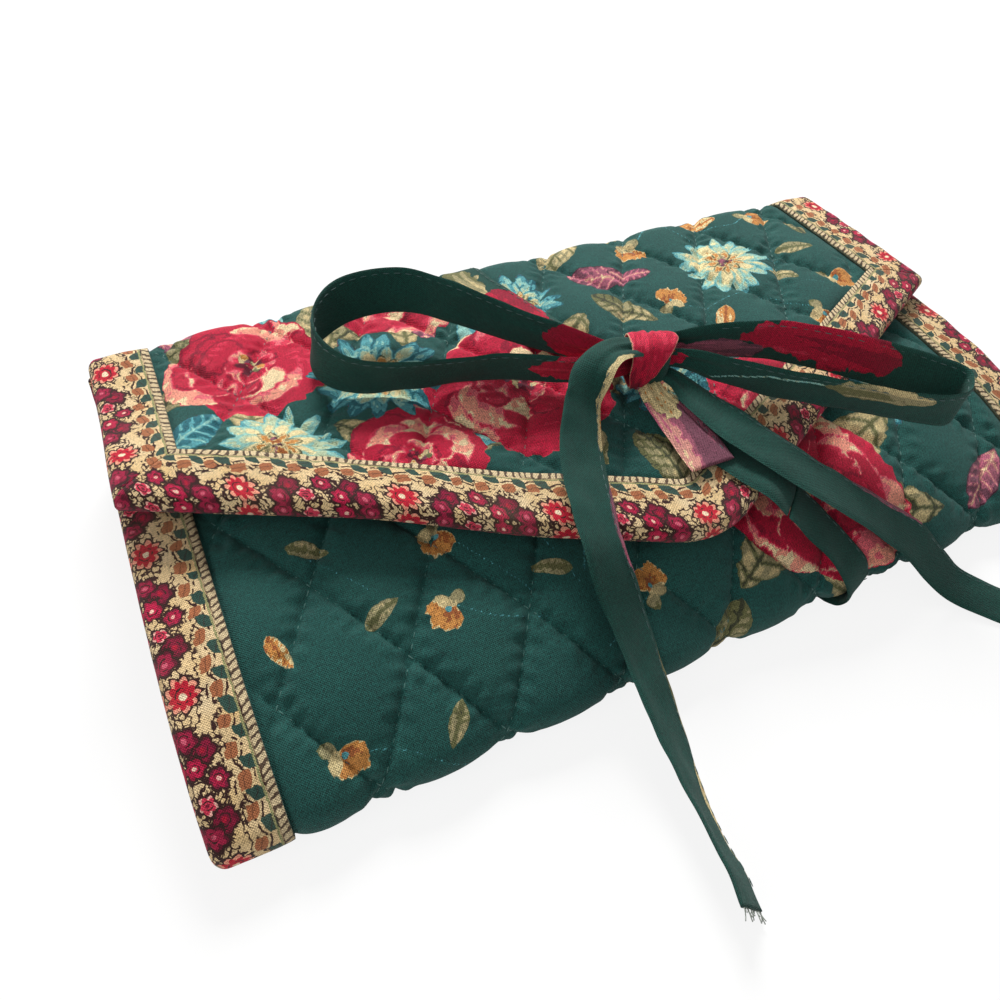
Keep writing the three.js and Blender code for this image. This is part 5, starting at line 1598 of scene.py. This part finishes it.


# Tones of the band: its print mottled and pale along its edges, with painted shade darkening its lower front
def bandTone(turn, along, q):
    spots = (turn * 40 + 160).astype(int), ((along + 8) * 24).astype(int)
    mottle = softNoise(500, 500, 14, knotLook["seeds"][2])[spots]
    pale = np.clip(1 - q * 16, 0, 1) + 0.5 * np.clip((q - 0.96) * 25, 0, 1)
    # painted shade: the tone drops over the knot's lower front, which faces away from the light
    shade = np.clip(0.26 + 0.42 * mottle - 0.2 * np.clip(turn - 0.9, 0, 1), 0, 1)
    return np.where(pale > 0.4, 0.9, shade)


def mirrored(values):
    return np.concatenate([values, values[:, ::-1]], axis=1)


def knotBand(look):
    degrees = np.linspace(look["left"][0][0], look["left"][-1][0], look["rings"])
    turn = np.radians(degrees)[:, None]
    left, right = (np.interp(degrees, *zip(*look[side]))[:, None] for side in ("left", "right"))
    q = np.linspace(0, 1, look["across"])
    along = left + (right - left) * q
    crease = ripple(along * 2.2, turn * 3.0, 5, look["seeds"][0]) * np.sin(math.pi * np.clip(q * 1.1, 0, 1))
    crease -= 1.3 * np.exp(-(((along - 1.6 + turn) / 0.5) ** 2)) * np.clip(turn, 0, 1)
    edge = 1 - np.abs(2 * q - 1) ** 8
    side, height = knotRound(turn * np.ones_like(along), 1.0)
    reach = np.hypot(side, height)
    lift = 1 + (look["crease"] * crease + 0.35 * edge - 0.2) / reach
    sink = lift - (look["thickness"] * (0.35 + 0.65 * edge)) / reach
    outer, inner = (inKnot(along, side * size, height * size) for size in (lift, sink))
    rings = np.concatenate([outer, inner[:, ::-1]], axis=1)
    tone = mirrored(bandTone(turn, along, q)).reshape(-1)
    around = rings.shape[1]
    uv = np.stack([mirrored(along) + 90, turn * 7 * np.ones((1, around))], -1).reshape(-1, 2)
    return rings.reshape(-1, 3), stripFaces(len(rings), around), uv, tone


def knotCore(look):
    count, rows = look["coreAround"], look["coreRings"]
    turn = np.linspace(0, 2 * math.pi, count + 1)[None, :-1]
    share = np.linspace(-1, 1, rows)[:, None]
    lid = np.clip(1 - np.abs(share) ** 3, 0.02, 1) ** 0.5
    fold = 1 + 0.05 * ripple(share * 4, turn * 2.2, 3, look["seeds"][1])
    side, height = knotRound(turn, look["core"])
    along = look["coreHalf"] * share * np.ones_like(turn)
    points = inKnot(along, side * lid * fold, height * lid * fold).reshape(-1, 3)
    grid = np.arange(rows * count).reshape(rows, count)
    turned = np.roll(grid, -1, axis=1)
    ends = np.array([points[:count].mean(axis=0), points[-count:].mean(axis=0)])
    first, last = (np.full(count, len(points) + k) for k in (0, 1))
    caps = [np.column_stack([first, turned[0], grid[0]]), np.column_stack([last, grid[-1], turned[-1]])]
    uv = np.stack([along + 70, turn * 6 * np.ones_like(along)], -1).reshape(-1, 2)
    tone = np.full(len(points) + 2, -1.0)
    return np.vstack([points, ends]), [tubeFaces(grid), *caps], np.vstack([uv, [[70, 0], [70, 0]]]), tone


# Band and core in one piece; a tone below 0 stands for plain ground
def tieKnot(look):
    shells = [knotBand(look), knotCore(look)]
    points, uv = (np.vstack([shell[k] for shell in shells]) for k in (0, 2))
    faces, start = [], 0
    for shell in shells:
        flip = signedVolume(shell[0], shell[1]) < 0
        faces += [(part[:, ::-1] if flip else part) + start for part in shell[1]]
        start += len(shell[0])
    tone = np.concatenate([shell[3] for shell in shells])[:, None] * np.ones(len(inks))
    warm = np.array([name == "warm" for name in inks])
    paint = (np.where((tone >= 0) & warm, 1.0, 0.0), np.clip(tone, 0, 1))
    piece = makePiece("tie_knot_band", points, faces, tieMaterial, uv, paint)
    declare(piece, "flap", "tie", "tie_knot")


tieKnot(knotLook)
print("knot tied")


# The inner pocket and its zip
brassLook = {"bright": "b9924e", "dull": "6f5326", "cloud": 320, "scratch": (4000, 260, 260)}
coilLook = {"pitch": 1.0, "gap": "0f1716", "tooth": "2c3b38"}
tapeLook = {"rib": 0.9, "dark": "16302c", "light": "2a4a44"}


def metalMaterial(look):
    graph = Graph("antiqued brass")
    place = graph.objectPlace()
    cloud = graph.noise(place, look["cloud"], 4.0)
    tarnish = graph.mix(cloud.rise(0.45, 0.75), look["bright"], look["dull"])
    scratch = graph.noise(graph.mapped(place, look["scratch"]), 1.0)
    bump = graph.bump(0.35, 0.00003, scratch)
    rough = cloud * 0.25 + 0.2
    return graph.finish({"Base Color": tarnish, "Metallic": 1.0, "Roughness": rough, "Normal": bump})


def coilMaterial(look):
    graph = Graph("moulded coil")
    place = graph.objectPlace()
    x = graph.axis(place, 0) * 1000
    teeth = (x * (2 * math.pi / look["pitch"])).sin() * 0.5 + 0.5
    colour = graph.mix(teeth, look["gap"], look["tooth"])
    bump = graph.bump(0.8, 0.0003, teeth)
    rough = graph.noise(place, 900) * 0.2 + 0.35
    return graph.finish({"Base Color": colour, "Roughness": rough, "Normal": bump})


def tapeMaterial(look):
    graph = Graph("woven zip tape")
    place = graph.objectPlace()
    x = graph.axis(place, 0) * 1000
    y = graph.axis(place, 1) * 1000
    ribs = ((x + y * 0.8) * (2 * math.pi / look["rib"])).sin() * 0.5 + 0.5
    yarn = graph.noise(place, 1400, 3.0)
    colour = graph.mix(ribs * 0.6 + yarn * 0.4, look["dark"], look["light"])
    bump = graph.bump(0.7, 0.00015, ribs + yarn)
    rough = yarn * 0.2 + 0.7
    return graph.finish({"Base Color": colour, "Roughness": rough, "Normal": bump, "Sheen Weight": 0.15})


def dress(material, *nodes):
    for node in nodes:
        slots = bpy.data.objects[node].material_slots
        if len(slots) == 0:
            bpy.data.objects[node].data.materials.append(material)
        for slot in slots:
            slot.material = material


dress(metalMaterial(brassLook), "zip_stop_left", "zip_stop_right", "zip_slider", "zip_pull")
dress(coilMaterial(coilLook), "zip_coil")
dress(tapeMaterial(tapeLook), "zip_tape_front", "zip_tape_rear")
pocketLook = {"sag": 0.1, "hem": 0.15, "spacing": 2, "turnedIn": 0.004, "seed": 101}


def pocketPanel(look):
    low, high = (1000 * np.array(corner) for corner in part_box("pocket_panel"))
    x, y = np.meshgrid(*(steps((low[k], high[k], look["spacing"])) for k in (0, 1)))
    inset = np.minimum(np.minimum(x - low[0], high[0] - x), np.minimum(y - low[1], high[1] - y))
    z = high[2] + look["sag"] * ripple(x, y, 24, look["seed"]) * np.clip(inset / 8, 0, 1)
    z += look["hem"] * np.exp(-(((inset - 2.2) / 1.1) ** 2))
    outer = np.stack([x, y, z], -1)
    under = np.stack([x, y, np.full_like(x, low[2])], -1)
    piece = sheetPiece("pocket_panel_soft", outer, under, np.stack([x, y], -1), liningCloth)
    declare(piece, "pouch", "lining", "pocket_panel")


pocketPanel(pocketLook)
print("zip and pocket dressed")


# Stitches, set on points along every sewn line
def stitchTree():
    tree = bpy.data.node_groups.new("stitches", "GeometryNodeTree")
    face = tree.interface
    face.new_socket("Points", in_out="INPUT", socket_type="NodeSocketGeometry")
    wanted = {}
    for label, kind, value in (
        ("Stitch length", "Float", 0.0023),
        ("Thread width", "Float", 0.0003),
        ("Unevenness", "Float", 0.12),
        ("Seed", "Int", 7),
        ("Thread", "Material", None),
    ):
        socket = face.new_socket(label, in_out="INPUT", socket_type="NodeSocket" + kind)
        if value is not None:
            socket.default_value = value
        wanted[label] = socket.identifier
    face.new_socket("Stitches", in_out="OUTPUT", socket_type="NodeSocketGeometry")

    def node(kind, settings=None, values=None, out=0):
        made = tree.nodes.new(kind)
        for key, value in (settings or {}).items():
            setattr(made, key, value)
        for key, value in (values or {}).items():
            if hasattr(value, "is_output"):
                tree.links.new(value, made.inputs[key])
            else:
                made.inputs[key].default_value = value
        return made.outputs[out] if len(made.outputs) else made

    def named(label):
        return node("GeometryNodeInputNamedAttribute", {"data_type": "FLOAT_VECTOR"}, {"Name": label})

    given = node("NodeGroupInput").node.outputs
    ways = {0: named("along"), 1: named("above")}
    turn = node("FunctionNodeAxesToRotation", {"primary_axis": "X", "secondary_axis": "Z"}, ways)
    bead = node("GeometryNodeMeshUVSphere", None, {"Segments": 6, "Rings": 5, "Radius": 0.5})
    low = node("ShaderNodeMath", {"operation": "SUBTRACT"}, {0: 1.0, 1: given["Unevenness"]})
    spread = {2: low, 3: 1.0, "Seed": given["Seed"]}
    uneven = node("FunctionNodeRandomValue", {"data_type": "FLOAT"}, spread, 1)
    longer = node("ShaderNodeMath", {"operation": "MULTIPLY"}, {0: given["Stitch length"], 1: uneven})
    width = given["Thread width"]
    size = node("ShaderNodeCombineXYZ", None, {0: longer, 1: width, 2: width})
    points = node("GeometryNodeMeshToPoints", None, {"Mesh": given["Points"]})
    laid = {"Points": points, "Instance": bead, "Rotation": turn, "Scale": size}
    sewn = node("GeometryNodeInstanceOnPoints", None, laid)
    real = node("GeometryNodeRealizeInstances", None, {"Geometry": sewn})
    threaded = node("GeometryNodeSetMaterial", None, {"Geometry": real, "Material": given["Thread"]})
    node("NodeGroupOutput", None, {0: threaded})
    return tree, wanted


stitches, stitchInputs = stitchTree()

# Each seam: its thread, its slot, and the stitches' length and width in metres
seamLook = {
    "quilting": {
        "thread": threadMaterial("quilting thread", "1f4a44", "4c7d74"),
        "slot": "cover",
        "length": stitchLook["length"] / 1000,
        "width": stitchLook["width"] / 1000,
    },
    "topstitch": {
        "thread": threadMaterial("topstitch thread", "1c3a38", "2f5552"),
        "slot": "tie",
        "length": 0.0021,
        "width": 0.00026,
    },
}


def sew(name, rows, bodyName, look, seed):
    places, ways, ups = (np.vstack(part) for part in zip(*rows))
    mesh = bpy.data.meshes.new(name + "_points")
    mesh.from_pydata((places * 0.001).tolist(), [], [])
    for label, values in (("along", ways), ("above", ups)):
        attribute = mesh.attributes.new(label, "FLOAT_VECTOR", "POINT")
        attribute.data.foreach_set("vector", values.astype(np.float32).ravel())
    source = addObject(name + "_points", mesh)
    modifier = source.modifiers.new("stitches", "NODES")
    modifier.node_group = stitches
    modifier[stitchInputs["Stitch length"]] = look["length"]
    modifier[stitchInputs["Thread width"]] = look["width"]
    modifier[stitchInputs["Seed"]] = seed
    modifier[stitchInputs["Thread"]] = look["thread"]
    depsgraph = bpy.context.evaluated_depsgraph_get()
    sewn = bpy.data.meshes.new_from_object(source.evaluated_get(depsgraph))
    sewn.name = name
    sewn.shade_smooth()
    bpy.data.objects.remove(source)
    declare(addObject(name, sewn), bodyName, look["slot"])


# One seam of the quilting, on which u + family v = number + 0.5: x and the quilting's own length for
# each stitch, and the way the seam runs
def seamLine(family, number):
    wide, longWay = quiltLook["width"], quiltLook["length"]
    pitch = stitchLook["pitch"]
    t = np.arange(-160, 160) * pitch + pitch / 2
    alongX, alongQ = wide / quiltSize, -family * longWay / quiltSize
    middle = (number + 0.5) / 2
    startX, startQ = middle * wide, family * middle * longWay
    shift = (startX * wide - family * startQ * longWay) / quiltSize
    return startX + alongX * (t - shift) + quiltLook["x"], startQ + alongQ * (t - shift), alongX, alongQ


# Stitch places along the quilting's crossing seams, inside the bindings
def quiltStitches(profile, place, low, high, allowed):
    rows = []
    sFine = np.linspace(low, high, 900)
    qFine = place(sFine)
    order = np.argsort(qFine)
    rising = np.gradient(qFine)
    half = bodyTrimEdge
    reach = int((half * 2 / quiltLook["width"]) + (high - low) / quiltLook["length"]) + 8
    for family in (1, -1):
        for number in range(-reach, reach):
            x, q, alongX, alongQ = seamLine(family, number)
            s = np.interp(q, qFine[order], sFine[order], left=-999, right=-999)
            keep = (np.abs(x) < half) & (s > low + 0.5) & (s < high - 0.5) & allowed(x, s)
            if not keep.any():
                continue
            x, s, q = x[keep], s[keep], q[keep]
            height = quiltOffset(x, q) + stitchLook["pit"] * 0.4 + 0.02
            base, normal = profile.faceAt(x, s)
            good = strapRoom(base, normal) > height + 0.3
            sway = np.sign(np.interp(s, sFine, rising))
            way = profile.place(x + alongX * 0.5, s + alongQ * 0.5 * sway, 0.0) - base
            way /= np.linalg.norm(way, axis=1)[:, None]
            rows.append(((base + normal * height[:, None])[good], way[good], normal[good]))
    return rows


def onBody(x, s):
    return (np.abs(x) < bodyTrimEdge - 1.2) & (s < mouthEdge - 1.5)


def onFlap(x, s):
    return (np.abs(x) < flapTrimEdge - 1.2) & (flap.at(s)[0] > slantY(x, pouchSize["trim"]) + 1.5)


bodySeams = quiltStitches(body, bodyQuiltPlace, 1.0, mouthEdge, onBody)
sew("quilting_body", bodySeams, "pouch", seamLook["quilting"], 3)
flapSeams = quiltStitches(flap, flapQuiltPlace, 2.0, flap.total, onFlap)
sew("quilting_flap", flapSeams, "flap", seamLook["quilting"], 4)


# Topstitching a little inside one edge of the tie
def tieStitches(names, inset=1.5):
    rows = []
    for name in names:
        *ways, share, along = ribbons[name]
        spots = np.arange(4, along[-1] - 3, stitchLook["pitch"])
        place, tangent, across, face = (
            np.column_stack([np.interp(spots, along, part[:, i]) for i in range(3)]) for part in ways
        )
        wide = np.interp(spots, along, share)
        for side in (1, -1):
            spot = place + across * (wide * tieSize["width"] / 2 - inset)[:, None] + face * side * restZ
            keep = (wide > 0.8) & (spot[:, 2] > 0.4)
            if keep.any():
                rows.append((spot[keep], tangent[keep], (face * side)[keep]))
    return rows


sew("tie_topstitch_flap", tieStitches(ridingTies), "flap", seamLook["topstitch"], 5)
pouchRows = tieStitches(["tie_wrap_front", "tie_wrap_rear"])
sew("tie_topstitch_pouch", pouchRows, "pouch", seamLook["topstitch"], 6)
print("stitches sewn")


# Floor and lamps: colour, glow and size of the floor, strength of the world, and each lamp's place,
# size and power
stageLook = {
    "floor": "f4f4f2", "glow": 0.86, "size": 3.0, "ambient": 0.33, "target": (0, 0, 0.02),
    "lamps": {
        "key lamp": ((0.2, 0.68, 0.72), 0.32, 14.0),
        "fill lamp": ((-0.85, -0.25, 0.6), 0.6, 2.7),
    },
}
white = (1, 1, 1, 1)


# 1 where the background is seen, straight on or in metal and glass
def seenRays(graph):
    rays = graph.node("LightPath")
    return rays.most(rays.other("Is Glossy Ray")).most(rays.other("Is Transmission Ray"))


def plainFloor(look):
    graph = Graph("pale floor")
    seen = seenRays(graph)
    matt = {"Base Color": rgba(look["floor"]), "Roughness": 0.9, "Specular IOR Level": 0.1}
    base = graph.node("BsdfPrincipled", None, matt)
    glow = graph.node("Emission", None, {"Color": white, "Strength": 1.0})
    blend = graph.node("MixShader", None, [seen * look["glow"], base, glow])
    graph.node("OutputMaterial", None, [blend])
    mesh = bpy.data.meshes.new("floor")
    half = look["size"] / 2
    corners = [(-half, -half, 0), (half, -half, 0), (half, half, 0), (-half, half, 0)]
    mesh.from_pydata(corners, [], [(0, 1, 2, 3)])
    mesh.materials.append(graph.owner)
    addObject("floor", mesh)


def studioWorld(look):
    graph = Graph("studio", bpy.data.worlds.new("studio"))
    soft = graph.node("Background", None, {"Color": white, "Strength": look["ambient"]})
    plain = graph.node("Background", None, {"Color": white, "Strength": 1.0})
    blend = graph.node("MixShader", None, [seenRays(graph), soft, plain])
    graph.node("OutputWorld", None, [blend])
    scene.world = graph.owner


def hangLamps(look):
    for name, (place, size, power) in look["lamps"].items():
        light = bpy.data.lights.new(name, "AREA")
        light.shape = "SQUARE"
        light.size = size
        light.energy = power
        holder = addObject(name, light)
        aim = Vector(look["target"]) - Vector(place)
        holder.rotation_euler = aim.to_track_quat("-Z", "Y").to_euler()
        holder.location = place


plainFloor(stageLook)
studioWorld(stageLook)
hangLamps(stageLook)
print("floor and lamps set")
